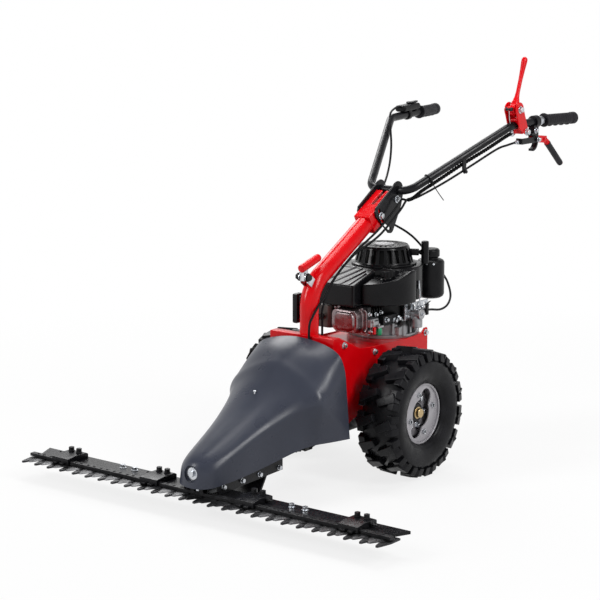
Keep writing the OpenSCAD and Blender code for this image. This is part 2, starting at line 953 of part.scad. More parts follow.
// Half section from the foot over the ridge to the crown, drawn in by an inset
function cowl_half(s, inset) = concat(
    [[s[1] - inset, s[2]], [(s[1] + s[3]) / 2 - inset, (s[2] + s[4]) / 2]],
    [for (k = [0 : arch_points - 1])
        let (a = 90 * k / arch_points)
        [(s[3] - inset) * pow(cos(a), 0.42), s[4] + (s[5] - s[4] - inset) * pow(sin(a), 0.85)]],
    [[0, s[5] - inset]]);
function slit_half(s) = let (n = arch_points + 2) [for (k = [0 : n])
    [nose_slit * (1 - k / n), s[2] + nose_slit * k / n]];
function arch(h, y) = concat(
    [for (q = h) [q[0], y, q[1]]],
    [for (i = [len(h) - 2 : -1 : 0]) [-h[i][0], y, h[i][1]]]);
function cowl_inside(s) = s[0] > nose_in_y - nose_step / 2 ? cowl_half(s, cowl_wall) : slit_half(s);
function cowl_ring(s) = let (inner = arch(cowl_inside(s), s[0])) concat(
    arch(cowl_half(s, 0), s[0]),
    [for (i = [len(inner) - 1 : -1 : 0]) inner[i]]);
function band_caps(first, last, sides) = concat(
    [for (k = [0 : sides / 2 - 2]) [first + k, first + k + 1, first + sides - 2 - k]],
    [for (k = [0 : sides / 2 - 2]) [first + k, first + sides - 2 - k, first + sides - 1 - k]],
    [for (k = [0 : sides / 2 - 2]) [last + k + 1, last + k, last + sides - 2 - k]],
    [for (k = [0 : sides / 2 - 2]) [last + k, last + sides - 1 - k, last + sides - 2 - k]]);
function skin_faces(rings, sides) = [
    for (i = [0 : rings - 2], k = [0 : sides - 1], half = [0, 1])
        let (a = i * sides + k, b = i * sides + (k + 1) % sides)
        half == 0 ? [a, a + sides, b] : [b, a + sides, b + sides]];

module cowl() {
    rings = [for (s = cowl_sections) cowl_ring(s)];
    sides = len(rings[0]);
    points = [for (ring = rings) each ring];
    faces = concat(skin_faces(len(rings), sides), band_caps(0, (len(rings) - 1) * sides, sides));
    color(GREY) placed() difference() {
        polyhedron(points, faces, convexity = 6);
        translate([0, 0, nose_bolt_z]) {
            rod_y(recess_d, cowl_nose_y - cut, recess_floor);
            rod_y(nose_bolt_d + 2 * run_fit, cowl_nose_y, carrier_front + cut);
        }
        translate([0, stay_y, drive_z + 40])
            cylinder(d = stay_screw_d + 2 * run_fit, h = 100);
    }
}

module cowl_fixings() {
    color(STEEL) placed() {
        translate([0, 0, nose_bolt_z]) {
            rod_y(nose_bolt_d, recess_floor, carrier_front + carrier_wall);
            rod_y(30, recess_floor - 2, recess_floor);
            rod_y(20, nose_in_y, carrier_front);
            translate([0, recess_floor - 2, 0])
                rotate([90, 0, 0])
                    hex_head(13, 6);
        }
        translate([0, stay_y, stay_top]) {
            cylinder(d = stay_screw_d, h = cowl_crown(stay_y + 5) + 2 - stay_top);
            translate([0, 0, cowl_crown(stay_y + 5) - stay_top])
                cylinder(d1 = 10, d2 = 6, h = 2);
        }
    }
}

// Engine

boss_angles = [-20, 20, 60, 120, 180, 220];
boss_r = case_d / 2 + 7;
boss_foot = deck_z + 5;
boss_top = deck_z + 45;

module crankcase() {
    color(ALLOY) placed() translate([0, engine_y, 0]) difference() {
        union() {
            translate([0, 0, deck_z])
                cylinder(d = 188, h = 9);
            translate([0, 0, deck_z + 9])
                cylinder(d = case_d, h = case_top - deck_z - 9);
            for (a = boss_angles)
                rotate(a)
                    translate([boss_r, 0, boss_foot])
                        cylinder(d = 20, h = boss_top - boss_foot);
            translate([44, -52, deck_z + 9])
                cube([42, 40, 22]);
        }
        translate([0, 0, deck_z - cut])
            cylinder(d = crank_d + 2 * run_fit, h = 200);
    }
}

module engine_bolts() {
    color(STEEL) placed() translate([0, engine_y, boss_top])
        for (a = boss_angles)
            rotate(a)
                translate([boss_r, 0, 0])
                    hex_head(8, 5);
}

module crankshaft() {
    color(STEEL) placed() translate([0, engine_y, 0]) {
        translate([0, 0, deck_z - 55])
            cylinder(d = crank_d, h = case_top + 50 - deck_z + 55);
        translate([0, 0, case_top + 18]) {
            cylinder(d = 150, h = 16);
            for (i = [0 : 11])
                rotate(i * 30)
                    translate([44, -2, 16])
                        cube([30, 4, 18]);
        }
    }
}

module cylinder_fins() {
    for (y = [8 : 11 : engine_y - case_d / 2 - 9])
        translate([cyl_x, y, cyl_z])
            rotate([90, 0, 0])
                linear_extrude(4)
                    round_rect(92, 62, 10);
}

module cylinder_block() {
    case_fit = 0.2;
    color(ALLOY) placed() difference() {
        union() {
            cylinder_fins();
            translate([cyl_x, 0, cyl_z]) {
                rod_y(64, -12, engine_y - case_d / 2 + 20);
                translate([-52, -12, -38])
                    cube([104, 14, shroud_z - cyl_z + 38]);
            }
        }
        translate([0, engine_y, deck_z])
            cylinder(d = case_d + 2 * case_fit, h = 120);
    }
}

module rocker_cover() {
    color(STEEL) placed() translate([cyl_x, -12, cyl_z]) rotate([90, 0, 0]) {
        linear_extrude(5)
            round_rect(104, 68, 14);
        translate([0, 0, 5])
            linear_extrude(26)
                round_rect(80, 58, 16);
        translate([0, 0, 31])
            linear_extrude(6)
                round_rect(62, 44, 14);
        for (x = [-46, 46], z = [-27, 27])
            translate([x, z, 5])
                hex_head(8, 4);
    }
}

module silencer() {
    color(STEEL) placed() translate([cyl_x - 46, 18, cyl_z]) {
        rod_x(26, -10, 0);
        translate([-66, 0, -30]) {
            linear_extrude(60)
                translate([28, 0])
                    round_rect(56, 84, 14);
            translate([28, -42, 30])
                rod_y(16, -26, 0);
        }
    }
}

module shroud_outline(grow) {
    translate([0, engine_y])
        circle(shroud_r + grow);
    translate([-78 - grow, -36 - grow])
        square([116 + 2 * grow, engine_y + 36]);
}

// Shroud body whose top falls away to the front, shrunk all round by an inset
module shroud_body(inset) {
    difference() {
        translate([0, 0, shroud_z - (inset > 0 ? cut : 0)])
            linear_extrude(shroud_h - inset + (inset > 0 ? cut : 0))
                shroud_outline(-inset);
        translate([-120, -60, recoil_z - 40 - inset])
            rotate([18, 0, 0])
                cube([240, 125, 80]);
    }
}

module shroud() {
    skin = 3;
    color(BLACK) placed() difference() {
        shroud_body(0);
        shroud_body(skin);
        translate([0, engine_y, shroud_z])
            cylinder(r = recoil_r - 12, h = shroud_h + cut);
    }
}

module starter_cover() {
    skin = 3;
    top_r = recoil_r - 15;
    boss = recoil_r + 14;
    slot_w = 11;
    color(BLACK) placed() translate([0, engine_y, recoil_z]) difference() {
        union() {
            rotate_extrude()
                polygon([
                    [recoil_r + 8, 0], [recoil_r + 8, 4], [recoil_r, 6], [top_r + 4, recoil_h - 5],
                    [top_r, recoil_h], [0, recoil_h], [0, recoil_h - skin], [top_r - 2, recoil_h - skin],
                    [recoil_r - 4, 4], [recoil_r - 4, 0]]);
            rotate(starter_dir)
                translate([0, 0, starter_z - recoil_z])
                    rod_x(18, top_r, boss);
        }
        for (i = [0 : louvre_count - 1])
            rotate(starter_dir + 360 * (i + 0.5) / louvre_count)
                translate([top_r - 6, -slot_w / 2, 10])
                    cube([recoil_r, slot_w, recoil_h - 18]);
        for (i = [0 : louvre_count - 1])
            rotate(360 * i / louvre_count)
                translate([36, -2, recoil_h - 10])
                    cube([18, 4, 20]);
        rotate(starter_dir)
            translate([0, 0, starter_z - recoil_z])
                rod_x(rope_d + 3, 30, boss + cut);
    }
}

module starter_disc() {
    color(STEEL) placed() translate([0, engine_y, recoil_z + recoil_h])
        cylinder(d = 52, h = 1.5);
}

module starter_grip() {
    seat = recoil_r + 14;
    color(BLACK) placed() translate([0, engine_y, starter_z]) rotate(starter_dir) {
        rod_x(12, seat, seat + 8);
        translate([seat + 16, 0, -30])
            cylinder(d = 20, h = 60);
        rod_x(rope_d, -rope_reach, seat + 2);
    }
}

module tank_outline() {
    difference() {
        intersection() {
            translate([41, -42])
                square([90, engine_y + 12]);
            translate([24, 96])
                circle(r = 104);
        }
        translate([0, engine_y])
            circle(shroud_r + 3);
    }
}

module fuel_tank() {
    color(BLACK) placed() {
        difference() {
            translate([0, 0, shroud_z + 2])
                linear_extrude(tank_top - shroud_z - 2)
                    tank_outline();
            translate([0, -20, tank_top - 34])
                rotate([16, 0, 0])
                    cube([200, 124, 60]);
            translate([cap_at[0], cap_at[1], cap_z])
                cylinder(d = 44, h = 30);
        }
        translate([cap_at[0], cap_at[1], cap_z - 14])
            cylinder(d = neck_d, h = 20);
        translate([41, 30, shroud_z + 20])
            rotate([0, -90, 0])
                cylinder(d = 14, h = 3);
    }
}

module fuel_cap() {
    knurls = 12;
    color(BLACK) placed() translate([cap_at[0], cap_at[1], cap_z + slide_gap]) difference() {
        union() {
            cylinder(d = 38, h = 14);
            translate([-16, -4, 14])
                cube([32, 8, 5]);
        }
        translate([0, 0, -cut])
            cylinder(d = neck_d + 2 * run_fit, h = 6 + cut);
        for (i = [0 : knurls - 1])
            rotate(360 * i / knurls)
                translate([19.5, 0, -cut])
                    cylinder(d = 4, h = 20);
    }
}

module air_filter() {
    r = canister_d / 2;
    color(BLACK) placed() {
        translate([canister_at[0], canister_at[1], canister_z])
            rotate_extrude()
                polygon([
                    [0, 0], [r - 10, 0], [r - 3, 4], [r, 11], [r, canister_h - 8], [r - 3, canister_h - 3],
                    [r - 9, canister_h], [r - 17, canister_h + 1], [r - 17, canister_h + 5],
                    [r - 13, canister_h + 7], [r - 13, canister_h + 23], [r - 17, canister_h + 28],
                    [0, canister_h + 28]]);
        translate([canister_at[0], canister_at[1], canister_z + 36])
            rotate(atan2(engine_y - canister_at[1], -canister_at[0]))
                rod_x(30, 0, norm([canister_at[0], canister_at[1] - engine_y]) - shroud_r - 0.2);
    }
}

module carburettor() {
    side = case_d / 2;
    color(ALLOY) placed() translate([0, engine_y, carb_z]) {
        difference() {
            translate([side - 4, -20, 0])
                cube([14, 44, 28]);
            cylinder(d = case_d + 2 * run_fit, h = 60);
        }
        translate([0, 2, 14])
            rod_x(28, side + 10, side + 42);
        translate([side + 24, 2, -22])
            cylinder(d = 32, h = 30);
        translate([cable_end_x, 2, 14])
            rod_y(12, 0, 40);
        translate([side + 18, 30, 12])
            cube([18, 4, 14]);
    }
}

// Handlebar, in the pivot's frame

module tilted() {
    placed()
        translate([0, pivot_y, pivot_z])
            children();
}

module tilt_plate_outline() {
    polygon([
        [-10, 38], [24, 38], [31, 14], [22, -20], [-13, -80], [-34, -86], [-92, -36], [-92, -14]]);
    translate([7, 24])
        circle(r = 23);
    translate([-25, -74])
        circle(r = 13);
    translate([-80, -26])
        circle(r = 14);
}

module tilt_plate() {
    slot_w = tilt_bolt_d + 0.6;
    slot_end_d = tilt_bolt_d + 1;
    difference() {
        across(plate_in, plate_out)
            tilt_plate_outline();
        rod_x(tilt_bolt_d + 2 * run_fit, plate_in - cut, plate_out + cut);
        translate([0, cross_at[1], cross_at[2]])
            rod_x(bar_tube_d + 2 * run_fit, plate_in - cut, plate_out + cut);
        rotate([arc_low, 0, 0])
            rotate([90, 0, 90])
                translate([0, 0, plate_in - cut])
                    rotate_extrude(angle = arc_high - arc_low)
                        translate([arc_r - slot_w / 2, 0])
                            square([slot_w, tilt_plate_t + 2 * cut]);
        for (a = [arc_low, arc_high])
            rotate([a, 0, 0])
                translate([0, arc_r, 0])
                    rod_x(slot_end_d, plate_in - cut, plate_out + cut);
    }
}

module tilt_plates() {
    color(BLACK) tilted() both() tilt_plate();
}

module handle_tube() {
    near = [grip_to - 2 * grip_dir, grip_from, bend_at, base_at];
    far = [for (i = [3 : -1 : 0]) [-near[i][0], near[i][1], near[i][2]]];
    route = rounded(concat(near, far), 45, 6);
    color(BLACK) tilted() difference() {
        swept(route, [for (q = route) bar_tube_d / 2], 16);
        swept(inset_ends(route, 2), [for (q = route) bar_tube_d / 2 - bar_tube_wall], 10);
    }
}

module along(p, dir) {
    side = unit(cross([0, 0, 1], dir));
    up = cross(dir, side);
    multmatrix([
        [side[0], up[0], dir[0], p[0]],
        [side[1], up[1], dir[1], p[1]],
        [side[2], up[2], dir[2], p[2]]])
        children();
}

module grip() {
    rib_pitch = 9;
    along(grip_to - grip_len * grip_dir, grip_dir) difference() {
        rotate_extrude() {
            translate([bar_tube_d / 2 + run_fit, 0])
                square([grip_d / 2 - bar_tube_d / 2 - 1.5, grip_len]);
            translate([bar_tube_d / 2 + run_fit, 0])
                square([grip_d / 2 + 3 - bar_tube_d / 2, 5]);
            for (z = [12 : rib_pitch : grip_len - 12])
                translate([grip_d / 2 - 2.5, z])
                    square([2.5, 5]);
            translate([0, grip_len - 2])
                square([grip_d / 2, 2]);
            translate([grip_d / 2 - 2.5, grip_len - 6])
                square([2.5, 6]);
        }
    }
}

module grips() {
    color(BLACK) tilted() both() grip();
}

// Controls on the left handle
lever_y = bend_at[1] + 14;
lever_x = bend_at[0] + 2.5;
lever_pivot = [lever_x, lever_y, bend_at[2] + 44];
run_dir = unit(grip_from - bend_at);
clamp_point = grip_from - 34 * run_dir;
clutch_pivot = [grip_from[0], grip_from[1] - 44, grip_from[2] - 48];
clutch_stop = [grip_from[0], clutch_pivot[1] - 77, clutch_pivot[2]];
lever_pin_d = 8;
bracket_half = 15;
bracket_t = 4;

module lever_bracket() {
    out = bracket_half + bracket_t;
    saddle = bend_at + (lever_y + 22 - bend_at[1]) / run_dir[1] * run_dir;
    color(RED) tilted() difference() {
        union() {
            translate([lever_x, lever_y, bend_at[2]]) {
                for (x = [bracket_half, -out])
                    across(x, x + bracket_t) {
                        translate([0, 44])
                            circle(r = 20);
                        polygon([[-19, 40], [0, -8], [34, -26], [46, -14], [18, 50]]);
                    }
                translate([0, 0, 44])
                    rod_x(lever_pin_d, -out - 5, out + 5);
                translate([0, 36, -18])
                    rod_x(8, -out - 4, out + 4);
            }
            along(saddle - 7 * run_dir, run_dir)
                cylinder(d = 2 * bracket_half + 0.6, h = 14);
        }
        along(saddle - 60 * run_dir, run_dir)
            cylinder(d = bar_tube_d + 2 * run_fit, h = 120);
    }
}

module drive_lever() {
    tip = [5, 52, 139];
    color(RED) tilted() translate(lever_pivot) {
        difference() {
            union() {
                rod_x(34, -9, 9);
                across(-7, 7)
                    polygon([
                        [-14, 8], [10, 10], [tip[1] * 0.45 + 8, tip[2] * 0.45], [tip[1] + 7, tip[2] - 10],
                        [tip[1] - 9, tip[2] - 8], [tip[1] * 0.45 - 10, tip[2] * 0.45]]);
                translate([0, tip[1] - 1, tip[2] - 10])
                    rod_x(18, -8, 8);
                translate([0, -22, 6])
                    rod_x(12, -8, 8);
            }
            rod_x(lever_pin_d + 2 * run_fit, -20, 20);
        }
    }
}

module lever_clamp() {
    cheek = 4;
    slot = 10;
    out = slot / 2 + cheek;
    stop_y = clutch_stop[1];
    color(BLACK) tilted() {
        difference() {
            union() {
                along(clamp_point - 9 * run_dir, run_dir)
                    cylinder(d = bar_tube_d + 12, h = 18);
                translate([clutch_pivot[0] - out, clutch_pivot[1] - 10, clutch_pivot[2] - 2])
                    cube([2 * out, 24, 40]);
                translate(clutch_pivot)
                    rod_x(16, -out, out);
                translate([clutch_pivot[0] + out, stop_y, clutch_pivot[2] - 8])
                    cube([cheek, clutch_pivot[1] + 8 - stop_y, 16]);
                translate([clutch_stop[0] - 7, stop_y, clutch_pivot[2] - 8])
                    cube([clutch_pivot[0] + out - clutch_stop[0] + 7 + cheek, cheek, 16]);
            }
            along(clamp_point - 60 * run_dir, run_dir)
                cylinder(d = bar_tube_d + 2 * run_fit, h = 120);
            translate([clutch_pivot[0] - slot / 2, clutch_pivot[1] - 30, clutch_pivot[2] - 12])
                cube([slot, 60, 28]);
        }
        translate(clutch_pivot)
            rod_x(6, -out - 4, out + cheek + 4);
    }
}

module clutch_lever() {
    color(RED) tilted() translate(clutch_pivot) difference() {
        union() {
            rod_x(18, -4.5, 4.5);
            across(-4.5, 4.5)
                polygon([
                    [-8, -8], [-26, -8], [-26, 0], [-8, 8], [30, 8], [66, 4], [70, -9], [56, -14], [4, -9]]);
            bent_tube([[0, 50, -4], [0, 68, -9], [0, 152, -80]], 20, 15, 3);
        }
        rod_x(6 + 2 * run_fit, -20, 20);
    }
}

// Throttle control on the right handle
throttle_dir = [-run_dir[0], run_dir[1], run_dir[2]];
throttle_from = [-grip_from[0], grip_from[1], grip_from[2]] - 96 * throttle_dir;
housing_h = 18;

module throttle_housing() {
    color(BLACK) tilted()
        along(throttle_from, throttle_dir) difference() {
            union() {
                translate([0, bar_tube_d / 2 + housing_h / 2, 0])
                    linear_extrude(84)
                        round_rect(34, housing_h, 7);
                translate([0, 0, 30])
                    cylinder(d = bar_tube_d + 8, h = 16);
            }
            translate([0, 0, -20])
                cylinder(d = bar_tube_d + 2 * run_fit, h = 160);
            translate([0, bar_tube_d / 2 + housing_h - 6, 56])
                rotate([-90, 0, 0])
                    cylinder(d = throttle_pin_d + 2 * run_fit, h = 10);
        }
}

throttle_pin_d = 8;

module throttle_lever() {
    color(BLACK) tilted()
        along(throttle_from, throttle_dir)
            translate([0, bar_tube_d / 2 + housing_h, 56])
                rotate([-90, 0, 0]) {
                    translate([0, 0, -5])
                        cylinder(d = throttle_pin_d, h = 6);
                    translate([0, 0, slide_gap]) {
                        cylinder(d = 24, h = 5);
                        translate([-5, -34, 0])
                            cube([10, 34, 5]);
                    }
                }
}

// Small lever on its clevis at the knee
knee_turn = 90 - column_slope;
elbow_y = column_y + column_bend;
elbow_z = knee_z - column_bend * tan(knee_turn / 2);
knee_at = 37;
knee_reach = column_bend + column_d / 2 + 27;
knee_pin_d = 8;
knee_half = 8;

// Frame on the outside of the elbow, with y pointing out of the bend
module on_knee() {
    placed()
        translate([0, elbow_y, elbow_z])
            rotate([180 - knee_at, 0, 0])
                children();
}

module knee_clevis() {
    cheek = 4;
    color(STEEL) on_knee() difference() {
        union() {
            for (x = [knee_half + slide_gap, -knee_half - slide_gap - cheek])
                translate([x, 0, 0])
                    across(0, cheek) {
                        translate([knee_reach, 0])
                            circle(d = 18);
                        translate([column_bend, -12])
                            square([knee_reach - column_bend - 8, 24]);
                        translate([column_bend, -9])
                            square([knee_reach - column_bend, 18]);
                    }
            translate([0, knee_reach, 0])
                rod_x(knee_pin_d, -knee_half - cheek - 6, knee_half + cheek + 6);
        }
        rotate([90, 0, 90])
            rotate_extrude()
                translate([column_bend, 0])
                    circle(d = column_d + 2 * run_fit);
    }
}

module knee_lever() {
    grip_tilt = 17;
    grip_up = 20;
    color(RED) on_knee() translate([0, knee_reach, 0]) rotate([knee_at - 180, 0, 0]) difference() {
        union() {
            rod_x(20, -knee_half, knee_half);
            across(-knee_half, knee_half)
                polygon([[-9, 0], [9, 0], [8, grip_up + 8], [-6, grip_up + 8], [-15, grip_up]]);
            translate([0, -8, grip_up])
                rotate([grip_tilt, 0, 0])
                    rod_y(21, 0, 76);
        }
        rod_x(knee_pin_d + 2 * run_fit, -20, 20);
    }
}

// Cables, through points chosen by hand in the axle's frame
cable_d = 6;
conduit_r = 6;
conduit_root = 4.6;
conduit_bore = 3.6;
clutch_upper = [
    [204, 481.8, 814], [202, 462, 812], [192, 446, 807], [176, 418, 797], [142, 345, 757],
    [108, 272, 718], [70, 206, 684], [52, 180, 677]];
clutch_lower = [
    [44, 140, 658], [34, 80, 610], [24, 40, 583], [19, 0, 561], [20, -60, 527], [24, -110, 496],
    [28, -150, 461], [27.2, -172, 443], [29, -194, 424], [28, -208, 402]];
drive_upper = [
    [196, 462, 838], [188, 444, 830], [164, 390, 800], [132, 322, 764], [100, 254, 725],
    [80, 208, 700], [70, 182, 683]];
drive_lower = [
    [58, 140, 654], [44, 80, 602], [28, 40, 574], [13, 0, 551], [12, -60, 517], [12, -108, 476],
    [12, -134, 428]];
throttle_upper = [
    [-198, 505.8, 884], [-196, 480, 883], [-174, 424, 872], [-150, 391, 837], [-135, 374, 790],
    [-110, 330, 742], [-70, 250, 704], [-52, 190, 688]];
throttle_lower = [
    [-48, 160, 654], [-42, 200, 620], [-12, 275, 574], [6, 320, 532], [30, 390, 448], [50, 388, 420],
    [70, 368, 394], [86, 328, 378], [94, 282, 374], [96, 230, 382]];
cable_end_x = case_d / 2 + 16;
// Where the clutch run ends behind the cowl, and where the drive run enters the frame
clutch_end = [28, frame_front - 5, front_top - 22];
drive_entry = [12, -134, deck_z - 8];

// Points at which a run crosses the tilt axis, a little before it and a little after it
function on_axis(x, dy, dz) = [x, pivot_y + dy, pivot_z + dz];

// Run whose last stretch narrows to a blunt tip beside the tilt axis
module cable_run(route, r, steps, tip_first, tip_last) {
    p = smooth(route, steps);
    n = len(p) - 1;
    head = tip_first ? [p[0], p[0] + unit(p[1] - p[0]) * r] : [p[0]];
    tail = tip_last ? [p[n] + unit(p[n - 1] - p[n]) * r, p[n]] : [p[n]];
    full = concat(head, [for (i = [1 : n - 1]) p[i]], tail);
    m = len(full) - 1;
    swept(full, [for (i = [0 : m]) (tip_first && i == 0) || (tip_last && i == m) ? r / 4 : r], 8);
}

module clutch_cable() {
    color(BLACK) placed()
        cable_run(concat(clutch_upper, [on_axis(46, 0.9, 0.6)]), cable_d / 2, 4, false, true);
}

// Ribbed conduit, two rings to a rib, with the drive cable in its bore
module drive_conduit() {
    route = concat(drive_upper, [on_axis(62, 0.9, 0.6)]);
    p = smooth(route, 22);
    ribbed = [for (i = [0 : len(p) - 7]) p[i]];
    rib_radii = [for (i = [0 : len(ribbed) - 1]) floor(i / 2) % 2 == 0 ? conduit_r : conduit_root];
    bored = concat(
        [p[0] + p[0] - p[1]],
        [for (i = [0 : 6 : len(ribbed) - 1]) p[i]],
        [p[len(p) - 6]]);
    color(BLACK) placed() {
        difference() {
            swept(ribbed, rib_radii, 8);
            swept(bored, [for (q = bored) conduit_bore], 8);
        }
        cable_run(route, cable_d / 2 - 0.2, 6, false, true);
    }
}

module throttle_cable() {
    color(BLACK) placed()
        cable_run(concat(throttle_upper, [on_axis(-46, 0.9, 0.6)]), cable_d / 2, 4, false, true);
}

// Fixed runs below the tilt axis: clutch, drive and throttle
module lower_cables() {
    above_entry = [drive_entry[0], drive_entry[1], 395];
    color(BLACK) placed() {
        cable_run(concat([on_axis(46, -0.9, -0.6)], clutch_lower, [clutch_end]),
            cable_d / 2, 4, true, false);
        cable_run(concat([on_axis(62, -0.9, -0.6)], drive_lower, [above_entry, drive_entry]),
            cable_d / 2, 4, true, false);
        cable_run(concat([on_axis(-46, -0.9, -0.6)], throttle_lower,
            [[cable_end_x, engine_y + 42 + slide_gap, carb_z + 14]]),
            cable_d / 2, 4, true, false);
    }
}

frame();
frame_bolts();
gearbox_left();
gearbox_right();
gearbox_bolts();
axle_bushes();
drive_tube();
swing_box();
carrier();
carrier_bolts();
centre_skid();
bar_plate();
comb_fingers();
knife_clamps();
clamp_bolts();
bar_bolts();
cowl();
cowl_fixings();
column();
column_head();
tilt_bolts();
knee_clevis();
column_guard();
crankcase();
cylinder_block();
rocker_cover();
silencer();
shroud();
starter_cover();
starter_disc();
fuel_tank();
air_filter();
carburettor();
engine_bolts();
lower_cables();
axle_shaft();
rims();
tyre_left();
tyre_right();
wheel_bolts();
drive_shaft();
swing_lever();
knife_back();
knife_sections();
crankshaft();
tilt_plates();
handle_tube();
grips();
lever_bracket();
lever_clamp();
throttle_housing();
clutch_cable();
drive_conduit();
throttle_cable();
drive_lever();
clutch_lever();
throttle_lever();
knee_lever();
starter_grip();
fuel_cap();
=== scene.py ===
"""Looks of a walk-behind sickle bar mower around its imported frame. Forward is -Y, lengths are metres."""
import json
from math import cos, pi, radians, sin, sqrt, tan

import bmesh
import bpy
from mathutils import Matrix, Vector


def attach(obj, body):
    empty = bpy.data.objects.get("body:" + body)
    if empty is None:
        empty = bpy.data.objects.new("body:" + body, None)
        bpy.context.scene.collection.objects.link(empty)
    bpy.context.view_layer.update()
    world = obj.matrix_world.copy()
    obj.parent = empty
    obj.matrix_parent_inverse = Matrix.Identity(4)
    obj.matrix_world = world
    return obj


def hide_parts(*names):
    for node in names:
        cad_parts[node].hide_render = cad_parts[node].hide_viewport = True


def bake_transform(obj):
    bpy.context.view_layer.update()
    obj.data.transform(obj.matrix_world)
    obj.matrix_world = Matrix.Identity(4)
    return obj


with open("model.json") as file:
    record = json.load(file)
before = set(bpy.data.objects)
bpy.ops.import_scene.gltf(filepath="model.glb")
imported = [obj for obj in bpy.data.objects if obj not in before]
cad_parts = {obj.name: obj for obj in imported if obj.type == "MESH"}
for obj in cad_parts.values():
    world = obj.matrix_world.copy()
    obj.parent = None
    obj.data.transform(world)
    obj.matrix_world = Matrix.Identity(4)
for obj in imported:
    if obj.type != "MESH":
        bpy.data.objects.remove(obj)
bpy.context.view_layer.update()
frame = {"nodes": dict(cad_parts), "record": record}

NODES = frame["nodes"]
SLOT_OF = {part["node"]: part["material_slot"] for part in frame["record"]["subparts"]}
BODY_OF = {node: body for body, nodes in frame["record"]["behaviour"]["bodies"].items() for node in nodes}
MM = 0.001
SAME_PLACE = 1e-5
FACING = 0.9
LEFT, REAR, UP = Vector((1, 0, 0)), Vector((0, 1, 0)), Vector((0, 0, 1))

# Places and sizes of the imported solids, in millimetres from the point on the ground under the axle
AXLE_Y = -45.03
AXLE_Z = 165
TYRE_X = 193
TYRE_D = 330
TYRE_W = 120
TILT_AXIS = (164.16, 678.74)
ENGINE_Y = 152
CABLE_D = 6


def spot(x, y, z):
    """A place in the part's frame, from the millimetres above."""
    return Vector((x, y + AXLE_Y, z)) * MM


def beside(point, x, y, z):
    """The place that lies so many millimetres from a point."""
    return spot(*(point + Vector((x, y, z))))


def in_metres(measures):
    return [measure * MM for measure in measures]


# Working by hand: select, edit, apply

def deselect():
    if bpy.context.object and bpy.context.object.mode != "OBJECT":
        bpy.ops.object.mode_set(mode="OBJECT")
    bpy.ops.object.select_all(action="DESELECT")


def show(obj):
    bpy.context.scene.collection.objects.link(obj)


def make_active(obj):
    deselect()
    obj.select_set(True)
    bpy.context.view_layer.objects.active = obj


def open_mesh(obj, select="FACE"):
    make_active(obj)
    bpy.ops.object.mode_set(mode="EDIT")
    bpy.ops.mesh.select_mode(type=select)


def open_whole(obj):
    """Opens the mesh with all of it selected."""
    open_mesh(obj, "VERT")
    bpy.ops.mesh.select_all(action="SELECT")


def close_mesh():
    bpy.ops.object.mode_set(mode="OBJECT")


def close_clean():
    """Merges doubles, turns the faces outwards and closes the mesh."""
    bpy.ops.mesh.select_all(action="SELECT")
    bpy.ops.mesh.remove_doubles(threshold=2e-6)
    bpy.ops.mesh.normals_make_consistent(inside=False)
    close_mesh()


def pick_faces(obj, test):
    """Selects the open mesh's faces whose centre and normal pass the test."""
    mesh = bmesh.from_edit_mesh(obj.data)
    for face in mesh.faces:
        face.select_set(bool(test(face.calc_center_median(), face.normal)))
    bmesh.update_edit_mesh(obj.data)


def pick_edges(obj, test):
    """Selects the open mesh's edges whose two ends pass the test."""
    mesh = bmesh.from_edit_mesh(obj.data)
    for edge in mesh.edges:
        edge.select_set(bool(test(edge.verts[0].co, edge.verts[1].co)))
    bmesh.update_edit_mesh(obj.data)


def reshape(obj, facing, inset=None, draw=None, resize=None, move=None):
    """Insets, draws out, resizes and moves the faces that look one way, in millimetres."""
    open_mesh(obj)
    pick_faces(obj, lambda centre, normal: normal.dot(facing) > FACING)
    if inset:
        bpy.ops.mesh.inset(thickness=inset * MM)
    if draw:
        bpy.ops.mesh.extrude_region_move(TRANSFORM_OT_translate={"value": in_metres(draw)})
    if resize:
        bpy.ops.transform.resize(value=resize)
    if move:
        bpy.ops.transform.translate(value=in_metres(move))
    close_mesh()


def name_new(name):
    """Names the primitive just added and puts its place and turn into its mesh."""
    obj = bpy.context.object
    obj.name = name
    obj.data.name = name
    bpy.ops.object.transform_apply(location=True, rotation=True, scale=True)
    return obj


def start_block(name, size, at, turn=(0, 0, 0)):
    deselect()
    bpy.ops.mesh.primitive_cube_add(size=1, location=at, rotation=turn, scale=in_metres(size))
    return name_new(name)


def start_rod(name, radius, begin, end, sides):
    deselect()
    axis = Vector(end) - Vector(begin)
    bpy.ops.mesh.primitive_cylinder_add(
        vertices=sides, radius=radius * MM, depth=axis.length, location=(Vector(begin) + Vector(end)) / 2,
        rotation=axis.to_track_quat("Z", "Y").to_euler())
    return name_new(name)


def draw_line(name, points):
    """A plane merged to one point, then extruded through the others."""
    deselect()
    bpy.ops.mesh.primitive_plane_add(size=MM, location=points[0])
    obj = name_new(name)
    open_whole(obj)
    bpy.ops.mesh.merge(type="CENTER")
    for here, there in zip(points, points[1:]):
        step = Vector(there) - Vector(here)
        bpy.ops.mesh.extrude_vertices_move(TRANSFORM_OT_translate={"value": step})
    close_mesh()
    return obj


def turn_profile(name, profile, centre, axis, steps):
    """Spins a line of (along the axis, radius) points, in millimetres, about an axis through centre."""
    axis = Vector(axis).normalized()
    out = axis.orthogonal().normalized()
    obj = draw_line(name, [
        Vector(centre) + axis * (along * MM) + out * (radius * MM) for along, radius in profile])
    open_whole(obj)
    bpy.ops.mesh.spin(steps=steps, angle=2 * pi, center=centre, axis=axis)
    close_clean()
    return obj


def apply_modifier(obj, kind, **values):
    modifier = obj.modifiers.new(kind.lower(), kind)
    for key, value in values.items():
        setattr(modifier, key, value)
    make_active(obj)
    bpy.ops.object.modifier_apply(modifier=modifier.name)


def round_edges(obj, radius, segments=2, angle=35):
    apply_modifier(
        obj, "BEVEL", width=radius * MM, segments=segments, limit_method="ANGLE", angle_limit=radians(angle),
        use_clamp_overlap=False, miter_outer="MITER_ARC")


